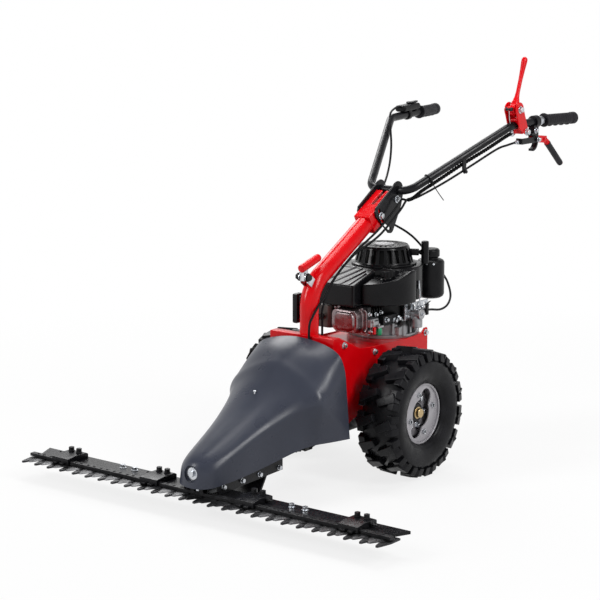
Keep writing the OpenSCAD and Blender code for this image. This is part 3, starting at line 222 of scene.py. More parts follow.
def rounded_block(name, size, at, radius, segments=2):
    block = start_block(name, size, at)
    round_edges(block, radius, segments)
    return block


def shade(obj, angle=38):
    make_active(obj)
    bpy.ops.object.shade_smooth_by_angle(angle=radians(angle))
    apply_modifier(obj, "WEIGHTED_NORMAL", keep_sharp=True, weight=80)


def duplicate(obj, name, matrix):
    """A copy with its own mesh, moved by a matrix."""
    copy = obj.copy()
    copy.data = obj.data.copy()
    copy.data.transform(matrix)
    copy.name = name
    show(copy)
    return copy


def join(pieces, name):
    """Joins pieces into the first one."""
    deselect()
    for obj in pieces:
        obj.select_set(True)
    bpy.context.view_layer.objects.active = pieces[0]
    bpy.ops.object.join()
    pieces[0].name = name
    return pieces[0]


def mirror_x(obj, name):
    """The same piece on the other side, with its faces turned outwards again."""
    other = duplicate(obj, name, Matrix.Scale(-1, 4, (1, 0, 0)))
    open_whole(other)
    bpy.ops.mesh.flip_normals()
    close_mesh()
    return other


def fit_piece(obj, body, slot, material, *stands_for):
    """Gives a piece its finish, hides the nodes that it stands for and hangs it on the body that it rides.
    The slot is not used.
    """
    obj.data.materials.clear()
    obj.data.materials.append(material)
    if stands_for:
        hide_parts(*stands_for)
    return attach(obj, body)


def finish_piece(obj, body, slot, *stands_for, material=None):
    shade(obj)
    return fit_piece(obj, body, slot, material or FINISHES[slot], *stands_for)


def copy_node(node, name):
    """A merged copy of a node's mesh, with its flat faces whole again."""
    obj = NODES[node].copy()
    obj.data = NODES[node].data.copy()
    obj.name = name
    obj.parent = None
    for key in list(obj.keys()):
        del obj[key]
    show(obj)
    open_whole(obj)
    bpy.ops.mesh.remove_doubles(threshold=5e-6)
    bpy.ops.mesh.customdata_custom_splitnormals_clear()
    bpy.ops.mesh.dissolve_limited(angle_limit=radians(0.4), use_dissolve_boundaries=False)
    close_mesh()
    return obj


def loft(name, lines):
    """Bridges lines of equal count, each at its own y, into one sheet."""
    sheet = join([draw_line(name, line) for line in lines], name)
    for here, there in zip(lines, lines[1:]):
        open_mesh(sheet, "EDGE")
        pick_edges(sheet, lambda a, b: abs(a.y - b.y) < SAME_PLACE and all(
            min(abs(p.y - here[0].y), abs(p.y - there[0].y)) < SAME_PLACE for p in (a, b)))
        bpy.ops.mesh.bridge_edge_loops()
        close_mesh()
    return sheet


def crease(obj, points, share):
    """Sharpens the edges that join neighbouring points."""
    open_mesh(obj, "EDGE")
    pick_edges(obj, lambda a, b: any(
        min((a - p).length + (b - q).length, (a - q).length + (b - p).length) < SAME_PLACE
        for p, q in zip(points, points[1:])))
    bpy.ops.transform.edge_crease(value=share)
    close_mesh()


def cut_away(obj, tool):
    apply_modifier(obj, "BOOLEAN", object=tool, operation="DIFFERENCE", solver="EXACT")
    bpy.data.objects.remove(tool)


WASHER_T = 1.4
CROWN_RISE = 0.5
CROWN_SHARE = 0.08


def hex_head(name, at, axis, across, height, washer_d):
    """A bolt head with a chamfered crown, on a washer."""
    axis = Vector(axis).normalized()
    at = Vector(at)
    seat = at + axis * (WASHER_T * MM)
    head = start_rod(name, across / sqrt(3), seat, seat + axis * height * MM, 6)
    reshape(head, axis, inset=across * CROWN_SHARE, move=axis * CROWN_RISE)
    round_edges(head, 0.35, 1, 40)
    washer = start_rod(name, washer_d / 2, at, seat, 20)
    round_edges(washer, 0.3, 1, 40)
    return join([head, washer], name)


# Finishes: colour patches, changing gloss and a fine relief, all on Object coordinates

def plug(tree, entry, source):
    """Links an input to an output, or gives it a value."""
    if isinstance(source, bpy.types.NodeSocket):
        tree.links.new(source, entry)
    else:
        entry.default_value = source


def plug_all(tree, node, **inputs):
    for key, source in inputs.items():
        plug(tree, node.inputs[key.replace("_", " ")], source)
    return node


def add_node(tree, kind, **inputs):
    return plug_all(tree, tree.nodes.new("ShaderNode" + kind), **inputs)


def fade(tree, value, begin, end):
    """Leads from one (value, result) to another."""
    (low, first), (high, last) = begin, end
    ramp = add_node(tree, "MapRange", Value=value, From_Min=low, From_Max=high, To_Min=first, To_Max=last)
    return ramp.outputs["Result"]


def reckon(tree, operation, *sources):
    """Does a sum with outputs and numbers."""
    node = add_node(tree, "Math")
    node.operation = operation
    for entry, source in zip(node.inputs, sources):
        plug(tree, entry, source)
    return node.outputs[0]


def height_in(tree, coords):
    return add_node(tree, "SeparateXYZ", Vector=coords).outputs["Z"]


class Finish:
    """A material under construction, with the nodes that all finishes use."""

    def __init__(self, name):
        self.material = bpy.data.materials.new(name)
        self.material.use_nodes = True
        self.tree = self.material.node_tree
        self.coords = add_node(self.tree, "TexCoord").outputs["Object"]

    def set(self, **inputs):
        plug_all(self.tree, self.tree.nodes["Principled BSDF"], **inputs)

    def noise(self, scale, detail=3.0, coords=None):
        place = coords or self.coords
        return add_node(self.tree, "TexNoise", Scale=scale, Detail=detail, Vector=place).outputs["Fac"]

    def colour(self, factor, *stops):
        """Blends colours placed along the factor."""
        ramp = add_node(self.tree, "ValToRGB", Fac=factor)
        band = ramp.color_ramp.elements
        while len(band) < len(stops):
            band.new(0.5)
        for element, (place, colour) in zip(band, stops):
            element.position = place
            element.color = (*colour, 1)
        self.set(Base_Color=ramp.outputs["Color"])

    def gloss(self, factor, low, high):
        self.set(Roughness=fade(self.tree, factor, (0.35, low), (0.65, high)))

    def relief(self, height, depth, strength):
        bump = add_node(self.tree, "Bump", Distance=depth, Strength=strength, Height=height)
        self.set(Normal=bump.outputs["Normal"])


def mix_finish(name, patches, dark, light, gloss, relief, specular=0.5, metal=0.0):
    """Two colours in soft patches. Gloss and relief give their two measures, then their noise."""
    finish = Finish(name)
    finish.colour(finish.noise(*patches), (0.3, dark), (0.7, light))
    finish.gloss(finish.noise(*gloss[2:]), *gloss[:2])
    finish.relief(finish.noise(*relief[2:]), *relief[:2])
    finish.set(Specular_IOR_Level=specular, Metallic=metal)
    return finish.material


def blade_steel():
    """Dark heat-treated steel, ground across its width."""
    finish = Finish("blade_steel")
    drawn_out = add_node(finish.tree, "Mapping", Vector=finish.coords, Scale=(900, 40, 40))
    across = finish.noise(1.0, 4, drawn_out.outputs["Vector"])
    finish.colour(across, (0.3, (0.020, 0.020, 0.022)), (0.7, (0.060, 0.060, 0.064)))
    finish.gloss(finish.noise(70), 0.26, 0.42)
    finish.relief(across, 0.0002, 0.18)
    finish.set(Metallic=0.8, Specular_IOR_Level=0.3)
    return finish.material


def shaded_engine_casting():
    """Bare alloy round the engine's foot that turns black higher up, partly the cylinder's black paint and
    partly painted shade.
    """
    finish = Finish("shaded_engine_casting")
    tree = finish.tree
    ragged = reckon(tree, "MULTIPLY_ADD", finish.noise(55, 4), 0.020, height_in(tree, finish.coords))
    # Painted shade: above this height the casting darkens to black, standing partly for the shade on the
    # upper engine.
    black_paint_and_shade = fade(tree, ragged, (0.362, 0.0), (0.378, 1.0))
    finish.colour(
        black_paint_and_shade, (0.0, (0.30, 0.30, 0.31)), (0.5, (0.05, 0.05, 0.052)), (1.0, (0.008, 0.008, 0.009)))
    finish.gloss(finish.noise(80), 0.30, 0.46)
    finish.relief(finish.noise(700, 4), 0.0004, 0.30)
    finish.set(Metallic=fade(tree, black_paint_and_shade, (0.2, 0.7), (0.8, 0.1)), Specular_IOR_Level=0.25)
    return finish.material


FINISHES = {slot: mix_finish(*row) for slot, *row in (
    ("red_paint", "red_gloss_paint", (9,), (0.60, 0.000, 0.003), (0.69, 0.001, 0.005),
     (0.16, 0.24, 30), (0.0002, 0.05, 300, 2), 0.22),
    ("red_plastic", "red_moulded_plastic", (18,), (0.60, 0.000, 0.004), (0.70, 0.001, 0.007),
     (0.24, 0.34, 60), (0.0002, 0.05, 600, 2), 0.20),
    ("black_paint", "black_satin_paint", (14,), (0.004, 0.004, 0.005), (0.009, 0.009, 0.011),
     (0.22, 0.34, 40), (0.0002, 0.05, 400, 2), 0.18),
    ("cowl_plastic", "cowl_moulded_plastic", (7,), (0.030, 0.034, 0.050), (0.039, 0.044, 0.063),
     (0.27, 0.34, 22), (0.0002, 0.06, 420, 2), 0.28),
    ("black_plastic", "black_gloss_plastic", (16,), (0.003, 0.003, 0.004), (0.007, 0.007, 0.008),
     (0.15, 0.24, 26), (0.0003, 0.05, 260, 2), 0.16),
    ("grip_rubber", "grip_rubber", (40,), (0.007, 0.007, 0.009), (0.015, 0.014, 0.018),
     (0.46, 0.58, 80), (0.0003, 0.30, 1800, 3), 0.20),
    ("tyre_rubber", "tyre_rubber", (26, 5), (0.003, 0.003, 0.004), (0.010, 0.010, 0.012),
     (0.26, 0.44, 45, 4), (0.0004, 0.20, 500, 4), 0.13),
    ("rim_paint", "silver_rim_paint", (24,), (0.30, 0.29, 0.31), (0.38, 0.37, 0.39),
     (0.34, 0.46, 60), (0.0002, 0.10, 1500, 2), 0.4, 0.35),
    ("bright_steel", "zinc_plate", (120, 4), (0.40, 0.42, 0.46), (0.68, 0.70, 0.72),
     (0.18, 0.34, 200), (0.0002, 0.15, 900, 2), 0.5, 1.0),
    ("dark_steel", "dark_steel", (60, 4), (0.008, 0.008, 0.009), (0.022, 0.022, 0.024),
     (0.30, 0.46, 110), (0.0002, 0.20, 900, 3), 0.22, 0.3),
    ("cast_alloy", "cast_alloy", (50, 5), (0.24, 0.24, 0.25), (0.44, 0.44, 0.45),
     (0.34, 0.50, 80), (0.0004, 0.30, 800, 4), 0.5, 0.9),
    ("gear_case", "painted_casting", (40, 4), (0.006, 0.006, 0.007), (0.014, 0.014, 0.016),
     (0.36, 0.50, 70), (0.0005, 0.35, 420, 4), 0.2),
    ("bronze", "sintered_bronze", (300, 3), (0.42, 0.30, 0.15), (0.58, 0.46, 0.26),
     (0.32, 0.46, 150), (0.0002, 0.20, 1500, 2), 0.5, 1.0))}
MATT_PLASTIC = mix_finish(
    "black_matt_plastic", (30,), (0.004, 0.004, 0.005), (0.009, 0.009, 0.010),
    (0.28, 0.40, 60), (0.0002, 0.18, 1400, 2), 0.14)
CABLE_JACKET = mix_finish(
    "cable_jacket", (60,), (0.003, 0.003, 0.004), (0.008, 0.008, 0.009),
    (0.40, 0.52, 120), (0.0001, 0.15, 1600, 2), 0.10)
CONDUIT = mix_finish(
    "conduit_plastic", (60,), (0.003, 0.003, 0.003), (0.006, 0.006, 0.007),
    (0.55, 0.70, 120), (0.0001, 0.10, 900, 2), 0.06)
BLADE = blade_steel()
SHADED_ENGINE_CASTING = shaded_engine_casting()
GREEN_PLASTIC = mix_finish(
    "green_moulded_plastic", (60,), (0.010, 0.26, 0.10), (0.016, 0.34, 0.15),
    (0.24, 0.36, 90), (0.0002, 0.12, 1200, 2))
ROCKER_METAL = mix_finish(
    "rocker_metal", (30, 4), (0.16, 0.125, 0.13), (0.26, 0.21, 0.215),
    (0.20, 0.34, 60), (0.0003, 0.18, 600, 3), metal=0.95)
BURNT_STEEL = mix_finish(
    "burnt_steel", (26, 5), (0.030, 0.026, 0.025), (0.085, 0.072, 0.066),
    (0.32, 0.50, 70), (0.0003, 0.22, 700, 3), 0.3, 0.8)
FINISH_OF_NODE = {
    "throttle_housing": MATT_PLASTIC, "throttle_lever": MATT_PLASTIC, "fuel_cap": MATT_PLASTIC,
    "air_filter": MATT_PLASTIC, "starter_grip": MATT_PLASTIC, "knife_sections": BLADE, "comb_fingers": BLADE,
    "rocker_cover": ROCKER_METAL, "crankcase": SHADED_ENGINE_CASTING, "cylinder_block": SHADED_ENGINE_CASTING,
    "silencer": BURNT_STEEL}


def finish_of(node):
    return FINISH_OF_NODE.get(node, FINISHES[SLOT_OF[node]])


def finish_nodes():
    for node, obj in NODES.items():
        obj.data.materials.clear()
        obj.data.materials.append(finish_of(node))


# Pieces that keep their CAD outline: edge radius
EDGE_RADII = {
    "frame": 1.2, "column_head": 2.0, "tilt_plates": 1.2, "carrier": 1.2, "centre_skid": 1.5,
    "bar_plate": 1.0, "knife_clamps": 1.2, "knife_back": 0.8, "crankcase": 1.2, "cylinder_block": 1.2,
    "silencer": 3.0, "starter_cover": 1.0, "swing_box": 2.0, "throttle_lever": 1.5, "comb_fingers": 0.8,
    "lever_clamp": 0.5, "clutch_lever": 0.5, "knee_clevis": 0.8, "column_guard": 4.0, "starter_grip": 3.0,
    "fuel_cap": 1.2, "air_filter": 1.5, "rims": 0.8, "frame_bolts": 0.6, "tilt_bolts": 0.6,
    "clamp_bolts": 0.6, "bar_bolts": 0.6, "carrier_bolts": 0.5, "engine_bolts": 0.5, "cowl_fixings": 0.6,
    "gearbox_bolts": 0.5}
# Moulded and cast pieces: grain, and rounds of smoothing
SOFT_NODES = {
    "fuel_tank": (2.0, 9), "shroud": (2.5, 8), "throttle_housing": (1.2, 14), "rocker_cover": (1.6, 8),
    "lever_bracket": (1.2, 8), "carburettor": (1.2, 3), "gearbox_left": (3.0, 3), "gearbox_right": (3.0, 3)}


def stand_in(obj, node):
    """Puts a worked copy in its node's place."""
    fit_piece(obj, BODY_OF[node], SLOT_OF[node], finish_of(node), node)


def ease_edges(node, radius):
    """The node's own shape with its edges rounded."""
    obj = copy_node(node, node + "_eased")
    round_edges(obj, radius)
    shade(obj)
    stand_in(obj, node)


def melt_edges(node, grain, rounds):
    """The node's own shape as one fine skin with soft edges, as moulded or cast."""
    obj = copy_node(node, node + "_moulded")
    apply_modifier(obj, "REMESH", mode="VOXEL", voxel_size=grain * MM)
    apply_modifier(obj, "SMOOTH", factor=0.5, iterations=rounds)
    make_active(obj)
    bpy.ops.object.shade_smooth()
    stand_in(obj, node)


def smooth_node(node, angle):
    """The node's own shape, merged and smooth."""
    obj = copy_node(node, node + "_smooth")
    make_active(obj)
    bpy.ops.object.shade_smooth_by_angle(angle=radians(angle))
    stand_in(obj, node)


# Tyres: a turned carcass with slanted lugs over the shoulders

LUG_COUNT = 15
LUG_H = 14
LUG_ROOT = 6
LUG_WIDE = 31
LUG_SLANT = 24
LUG_FALL = 3.4
SHOULDER_H = 22
# Half of the carcass, from the bead over the sidewall's ring and the shoulder to the crown
TYRE_SECTION = [
    (36, 78), (41, 78.6), (44, 80.5), (46.5, 84.5), (49, 89), (50.4, 90), (52.4, 94), (55, 101), (57, 110),
    (58, 119), (57.6, 127), (55.6, 134), (52, 139.5), (47, 143.5), (40, 146.5), (26, 149.5), (8, 150.5)]


def tyre_carcass(name, side):
    other_half = [(-along, radius) for along, radius in reversed(TYRE_SECTION)]
    return turn_profile(
        name, TYRE_SECTION + other_half + TYRE_SECTION[:1], spot(side * TYRE_X, 0, AXLE_Z), (1, 0, 0), 84)


def bar_lug(name, side):
    """One lug at the top of a tyre, from the middle of the tread to the shoulder on one side."""
    long = TYRE_W / 2 - 6
    high = LUG_H + LUG_ROOT
    block = start_block(
        name, (long, LUG_WIDE, high), in_metres((side * (3 + long / 2), 0, TYRE_D / 2 - high / 2)))
    reshape(block, UP, resize=(0.96, 0.8, 1))
    reshape(block, -side * LEFT, resize=(1, 0.7, 1))
    reshape(block, side * LEFT, move=(0, 0, -LUG_FALL))
    open_whole(block)
    bpy.ops.transform.rotate(value=radians(-LUG_SLANT), orient_axis="Z", center_override=(0, 0, 0))
    close_mesh()
    round_edges(block, 1.8)
    return block


def shoulder_lug(name, side):
    """The block under a lug's outer end, standing out of the sidewall."""
    top = TYRE_D / 2 - 5
    block = start_block(
        name, (20, 23, SHOULDER_H), in_metres((side * (TYRE_W / 2 - 12), 0, top - SHOULDER_H / 2)))
    reshape(block, -UP, resize=(1, 0.8, 1), move=(side * 1.5, 0, 0))
    reshape(block, UP, resize=(1, 0.86, 1), move=(-side * 5, 0, 0))
    round_edges(block, 2.0)
    return block


def make_tyre(node, side):
    carcass = tyre_carcass(node + "_tread", side)
    hub = Matrix.Translation(spot(side * TYRE_X, 0, AXLE_Z))
    pieces = [carcass]
    for flank in (-1, 1):
        bar, block = bar_lug("bar_lug", flank), shoulder_lug("shoulder_lug", flank)
        for step in range(2 * LUG_COUNT):
            turn = hub @ Matrix.Rotation(radians(180 + 180 * step / LUG_COUNT), 4, "X")
            if (step % 2 == 0) == (flank < 0):
                pieces.append(duplicate(bar, "lug", turn))
            pieces.append(duplicate(block, "lug", turn))
        bpy.data.objects.remove(bar)
        bpy.data.objects.remove(block)
    tyre = join(pieces, node + "_tread")
    shade(tyre, 40)
    fit_piece(tyre, "wheels", "tyre_rubber", FINISHES["tyre_rubber"], node)


# Control cables, along the routes of their solids

CLUTCH_ROUTE = [
    (204, 481.8, 814), (202, 462, 812), (192, 446, 807), (176, 418, 797), (142, 345, 757), (108, 272, 718),
    (70, 206, 684), (52, 180, 677), (46, *TILT_AXIS), (44, 140, 658), (34, 80, 610), (24, 40, 583),
    (19, 0, 561), (20, -60, 527), (24, -110, 496), (28, -150, 461), (27.2, -172, 443), (29, -194, 424),
    (28, -208, 402), (28, -210, 352)]
DRIVE_ROUTE = [
    (196, 462, 838), (188, 444, 830), (164, 390, 800), (132, 322, 764), (100, 254, 725), (80, 208, 700),
    (70, 182, 683), (62, *TILT_AXIS), (58, 140, 654), (44, 80, 602), (28, 40, 574), (13, 0, 551),
    (12, -60, 517), (12, -108, 476), (12, -134, 428), (12, -134, 395), (12, -134, 314)]
THROTTLE_ROUTE = [
    (-198, 505.8, 884), (-196, 480, 883), (-174, 424, 872), (-150, 391, 837), (-135, 374, 790),
    (-110, 330, 742), (-70, 250, 704), (-52, 190, 688), (-46, *TILT_AXIS), (-48, 160, 654), (-42, 200, 620),
    (-12, 275, 574), (6, 320, 532), (30, 390, 448), (50, 388, 420), (70, 368, 394), (86, 328, 378),
    (94, 282, 374), (96, 230, 382), (96, 194.3, 384)]
CONDUIT_R = 5.2
GROOVE_SHARE = 0.76


def smooth_route(route, steps):
    """Points on one smooth curve through the route's points."""
    points = [spot(*place) for place in route]
    ends = [points[0]] + points + [points[-1]]
    line = []
    for p0, p1, p2, p3 in zip(ends, ends[1:], ends[2:], ends[3:]):
        for step in range(steps):
            t = step / steps
            line.append(0.5 * (2 * p1 + (p2 - p0) * t + (2 * p0 - 5 * p1 + 4 * p2 - p3) * t * t
                               + (3 * p1 - p0 - 3 * p2 + p3) * t ** 3))
    return line + [points[-1]]


def draw_tube(name, line, radius, shares=None):
    """A round tube along a line, with a share of the radius for each point where it is ribbed."""
    curve = bpy.data.curves.new(name, "CURVE")
    curve.dimensions = "3D"
    curve.bevel_depth = radius * MM
    curve.bevel_resolution = 4
    curve.use_fill_caps = True
    spline = curve.splines.new("POLY")
    spline.points.add(len(line) - 1)
    for index, (point, place) in enumerate(zip(spline.points, line)):
        point.co = (*place, 1)
        point.radius = shares[index] if shares else 1
    tube = bpy.data.objects.new(name, curve)
    show(tube)
    make_active(tube)
    bpy.ops.object.convert(target="MESH")
    bpy.ops.object.shade_smooth()
    return tube


def hang_cable(name, route, *stands_for):
    """A control cable that is held at the lever and at the machine, and bends at the tilt axis."""
    line = smooth_route(route, 8)
    cable = draw_tube(name, line, CABLE_D / 2)
    cable.data.materials.append(CABLE_JACKET)
    if stands_for:
        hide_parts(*stands_for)
    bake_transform(cable)


def ribbed_conduit():
    """Split conduit over the drive cable, from the lever to the tilt plates."""
    line = smooth_route(DRIVE_ROUTE[:8], 30)[:-8]
    shares = [1 if index % 3 else GROOVE_SHARE for index in range(len(line))]
    conduit = draw_tube("drive_conduit_ribs", line, CONDUIT_R, shares)
    conduit.data.materials.append(CONDUIT)
    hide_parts("drive_conduit")
    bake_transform(conduit)


def make_cables():
    hang_cable("clutch_line", CLUTCH_ROUTE, "clutch_cable", "lower_cables")
    hang_cable("drive_line", DRIVE_ROUTE)
    hang_cable("throttle_line", THROTTLE_ROUTE, "throttle_cable")
    ribbed_conduit()


# Cowl: lines from one foot over the crown to the other, bridged and smoothed

# Each line's y, then its half width and height from the foot over the ridge and the shoulder to the crown
COWL_LINES = [
    (-215, (160, 133), (158, 150), (152, 222), (146, 297), (137, 327),
     (123, 345), (98, 356), (60, 366), (0, 373)),
    (-262, (150, 134), (152, 192), (150, 232), (147, 268), (140, 291),
     (127, 310), (104, 328), (64, 345), (0, 358)),
    (-298, (137, 134), (148, 222), (147, 238), (143, 253), (135, 268),
     (121, 282), (97, 299), (60, 318), (0, 337)),
    (-314, (130, 134), (146, 236), (144, 246), (139, 256), (130, 267),
     (116, 278), (92, 293), (56, 311), (0, 327)),
    (-338, (117, 130), (122, 228), (120, 237), (115, 246), (108, 255),
     (98, 263), (78, 276), (48, 290), (0, 303)),
    (-366, (107, 124), (107, 217), (105, 225), (101, 233), (95, 241),
     (86, 248), (68, 260), (42, 272), (0, 281)),
    (-400, (92, 112), (94, 205), (92, 212), (88, 219), (82, 225), (75, 231), (59, 240), (35, 248), (0, 253)),
    (-460, (76, 97), (76, 176), (75, 183), (72, 190), (67, 196), (60, 201), (47, 208), (27, 215), (0, 218)),
    (-530, (69, 88), (66, 144), (65, 151), (62, 158), (58, 163), (52, 168), (41, 175), (24, 182), (0, 185)),
    (-590, (62, 84), (58, 118), (57, 125), (54, 132), (50, 138), (45, 143), (35, 149), (20, 155), (0, 158)),
    (-618, (51, 79), (47, 104), (46, 111), (44, 118), (40, 124), (35, 130), (27, 137), (15, 142), (0, 144)),
    (-634, (22, 76), (21, 94), (21, 98), (20, 103), (19, 108), (17, 114), (13, 119), (7, 123), (0, 125))]
COWL_WALL = 3
NOSE_Y = -634
NOSE_BOLT_Z = 110
RECESS_R = 20
RECESS_FLOOR = -623
SHARP_CREASE = 0.75
SOFT_CREASE = 0.35


def make_cowl():
    lines = []
    for y, *half in COWL_LINES:
        near = [spot(x, y, z) for x, z in half]
        lines.append(near + [Vector((-p.x, p.y, p.z)) for p in reversed(near[:-1])])
    hood = loft("cowl_hood", lines)
    open_mesh(hood, "EDGE")
    pick_edges(hood, lambda a, b: max(a.y, b.y) < spot(0, NOSE_Y + 1, 0).y)
    bpy.ops.mesh.edge_face_add()
    close_clean()
    for crest, ridge in ((1, 3), (-2, -4)):
        crease(hood, [line[crest] for line in lines[:4]], SHARP_CREASE)
        crease(hood, [line[crest] for line in lines[3:11]], SOFT_CREASE)
        crease(hood, [line[ridge] for line in lines[:4]], SOFT_CREASE)
    apply_modifier(hood, "SUBSURF", levels=3, render_levels=3, boundary_smooth="PRESERVE_CORNERS")
    apply_modifier(hood, "SOLIDIFY", thickness=COWL_WALL * MM, offset=-1)
    cut_away(hood, start_rod(
        "recess", RECESS_R, spot(0, NOSE_Y - 20, NOSE_BOLT_Z), spot(0, RECESS_FLOOR, NOSE_BOLT_Z), 48))
    finish_piece(hood, "chassis", "cowl_plastic", "cowl")
    cup = turn_profile("nose_cup", [
        (-1, 0), (-1, RECESS_R + 1.4), (5.4, RECESS_R + 1.4), (5.8, RECESS_R + 0.6), (5.4, RECESS_R),
        (2, RECESS_R - 1), (0.4, RECESS_R - 3), (0, RECESS_R - 6), (0, 0)],
        spot(0, RECESS_FLOOR, NOSE_BOLT_Z), (0, -1, 0), 48)
    finish_piece(cup, "chassis", "cowl_plastic")


# Column and its knee lever

COLUMN_R = 24
COLUMN_Y = -172
COLUMN_FOOT = 282
BEND_R = 90
BEND_Z = 434.7
COLUMN_TURN = radians(60.3)
COLUMN_RUN = 216.9
KNEE_PIVOT = Vector((0, -194.6, 519.5))
KNEE_HANDLE = Vector((0, -207, 540.5)), Vector((0, -131, 562.5))


def make_column():
    """A rod spun round the bend and drawn out along the slope."""
    tube = start_rod(
        "column_tube", COLUMN_R, spot(0, COLUMN_Y, COLUMN_FOOT), spot(0, COLUMN_Y, BEND_Z), 56)
    open_mesh(tube)
    pick_faces(tube, lambda centre, normal: normal.z > FACING)
    bpy.ops.mesh.spin(
        steps=16, angle=COLUMN_TURN, center=spot(0, COLUMN_Y + BEND_R, BEND_Z), axis=(1, 0, 0))
    bpy.ops.mesh.extrude_region_move(TRANSFORM_OT_translate={
        "value": Vector((0, sin(COLUMN_TURN), cos(COLUMN_TURN))) * COLUMN_RUN * MM})
    close_clean()
    finish_piece(tube, "chassis", "red_paint", "column")


def make_knee_lever():
    """Round red handle over a zinc arm, with the pivot bolt's dark head."""
    begin, end = KNEE_HANDLE
    long = (end - begin).length
    rod = turn_profile("knee_handle", [
        (0, 0), (0.3, 8.4), (1.6, 10), (4, 10.4), (long - 8, 10.4), (long - 3.6, 9.2), (long - 1, 6),
        (long, 0)], spot(*begin), end - begin, 36)
    finish_piece(rod, "knee_lever", "red_plastic", "knee_lever")
    arm = start_block("knee_arm", (14, 17, 30), beside(KNEE_PIVOT, 0, 1, 5))
    reshape(arm, UP, draw=(0, 4, 5), resize=(0.8, 0.8, 1))
    round_edges(arm, 2)
    finish_piece(arm, "knee_lever", "bright_steel")
    heads = [hex_head("knee_bolt", beside(KNEE_PIVOT, side * 12.4, 0, 0), (side, 0, 0), 15, 7, 22)
             for side in (1, -1)]
    finish_piece(join(heads, "knee_bolts"), "chassis", "dark_steel")


# Wheels' insides: hub, flange, axle end and lip behind the rims' openings

FLANGE_FACE = 11
NUT_RING = 40
RIM_FACE = 226
SOCKET_RING = 51
# Each turned piece's ending, slot, steps and section
HUB_PIECES = [
    ("", "dark_steel", 48, [
        (-40, 11), (-40, 24), (8, 24), (13, 27), (15, 26), (21, 23), (22, 21), (22, 11), (-40, 11)]),
    ("_flange", "rim_paint", 56, [
        (-4, 73), (9, 64), (FLANGE_FACE, 60), (FLANGE_FACE, 25), (7, 25), (7, 58), (-8, 71), (-4, 73)]),
    ("_washer", "bronze", 32, [
        (22, 0), (22, 15), (24, 15.6), (24.6, 15), (25, 12.4), (32, 12), (33, 11), (33.4, 0)]),
    ("_lip", "rim_paint", 72, [
        (34, 73.5), (35.6, 74), (37.6, 75.6), (38.2, 77.4), (37, 79), (34.6, 79.2), (33, 78), (34, 73.5)])]


def make_hub(name, side):
    centre = spot(side * TYRE_X, 0, AXLE_Z)
    axis = (side, 0, 0)
    for ending, slot, steps, section in HUB_PIECES:
        finish_piece(turn_profile(name + ending, section, centre, axis, steps), "wheels", slot)
    nuts = []
    for step in range(6):
        turn = radians(52 + 60 * step)
        at = centre + Vector((side * FLANGE_FACE, NUT_RING * cos(turn), NUT_RING * sin(turn))) * MM
        nuts.append(hex_head(name + "_nut", at, axis, 13, 8, 20))
    finish_piece(join(nuts, name + "_nuts"), "wheels", "bright_steel")


def wheel_sockets():
    """Recessed bolts round the rims' openings: a bright collar with a dark socket."""
    collars, sockets = [], []
    for side in (1, -1):
        for step in range(4):
            turn = radians(14 + 90 * step)
            at = spot(side * RIM_FACE, -SOCKET_RING * cos(turn), AXLE_Z - SOCKET_RING * sin(turn))
            collars.append(turn_profile("collar", [
                (-1, 3.6), (-1, 6.4), (3.6, 6.4), (4.8, 5.6), (5, 4.4), (4.2, 3.8), (-1, 3.6)],
                at, (side, 0, 0), 20))
            sockets.append(turn_profile(
                "socket", [(-2, 0), (-2, 3.9), (1.4, 3.9), (1.6, 0)], at, (side, 0, 0), 12))
    finish_piece(join(collars, "wheel_collars"), "wheels", "bright_steel", "wheel_bolts")
    finish_piece(join(sockets, "wheel_sockets"), "wheels", "dark_steel")


# Engine: what shows between its covers

STARTER_Z = 508
SLOPE_FOOT_Y = -60
SLOPE_FOOT_Z = 468
SHROUD_SLOPE = radians(18)
# Each ridge's two ends (x, y) on the shroud's falling top
RIDGE_ENDS = [((-24, 62), (-66, -24)), ((0, 56), (-38, -28)), ((17, 46), (-10, -30)), ((27, 34), (17, -30))]
RIDGE_SINK = 2.0
PLATE_Z = 408
COIL_COUNT = 9
COIL_STEPS = 12
CASE_R = 80
WEB_RING = 85
WEB_FOOT = 332
CANISTER_TOP = (60, 284, 499)
CANISTER_R = 33.4


def outward(turn):
    """The level direction at so many degrees from the left."""
    return Vector((cos(radians(turn)), sin(radians(turn)), 0))


def starter_screen():
    """Dark screen behind the starter cover's ribs."""
    screen = turn_profile("starter_screen", [
        (3, 69), (40, 56.5), (45, 53), (45, 0), (43, 0), (43, 51.5), (39, 54.5), (3, 67), (3, 69)],
        spot(0, ENGINE_Y, STARTER_Z), (0, 0, 1), 44)
    finish_piece(screen, "chassis", "black_plastic", material=MATT_PLASTIC)


def shroud_ridges():
    """Raised ridges that fan out over the shroud's falling top."""
    ridges = []
    for ends in RIDGE_ENDS:
        rear, front = [spot(x, y, SLOPE_FOOT_Z + (y - SLOPE_FOOT_Y) * tan(SHROUD_SLOPE)) for x, y in ends]
        ridge = start_rod("ridge", 5, rear, front, 12)
        open_mesh(ridge)
        pick_faces(ridge, lambda centre, normal: (centre - front).length < 10 * SAME_PLACE)
        bpy.ops.transform.resize(value=(2.0, 1.0, 0.45), center_override=tuple(front))
        bpy.ops.mesh.select_all(action="SELECT")
        bpy.ops.transform.translate(value=(0, 0, -RIDGE_SINK * MM))
        close_mesh()
        round_edges(ridge, 1.4)
        ridges.append(ridge)
    finish_piece(join(ridges, "shroud_ridges"), "chassis", "black_plastic")


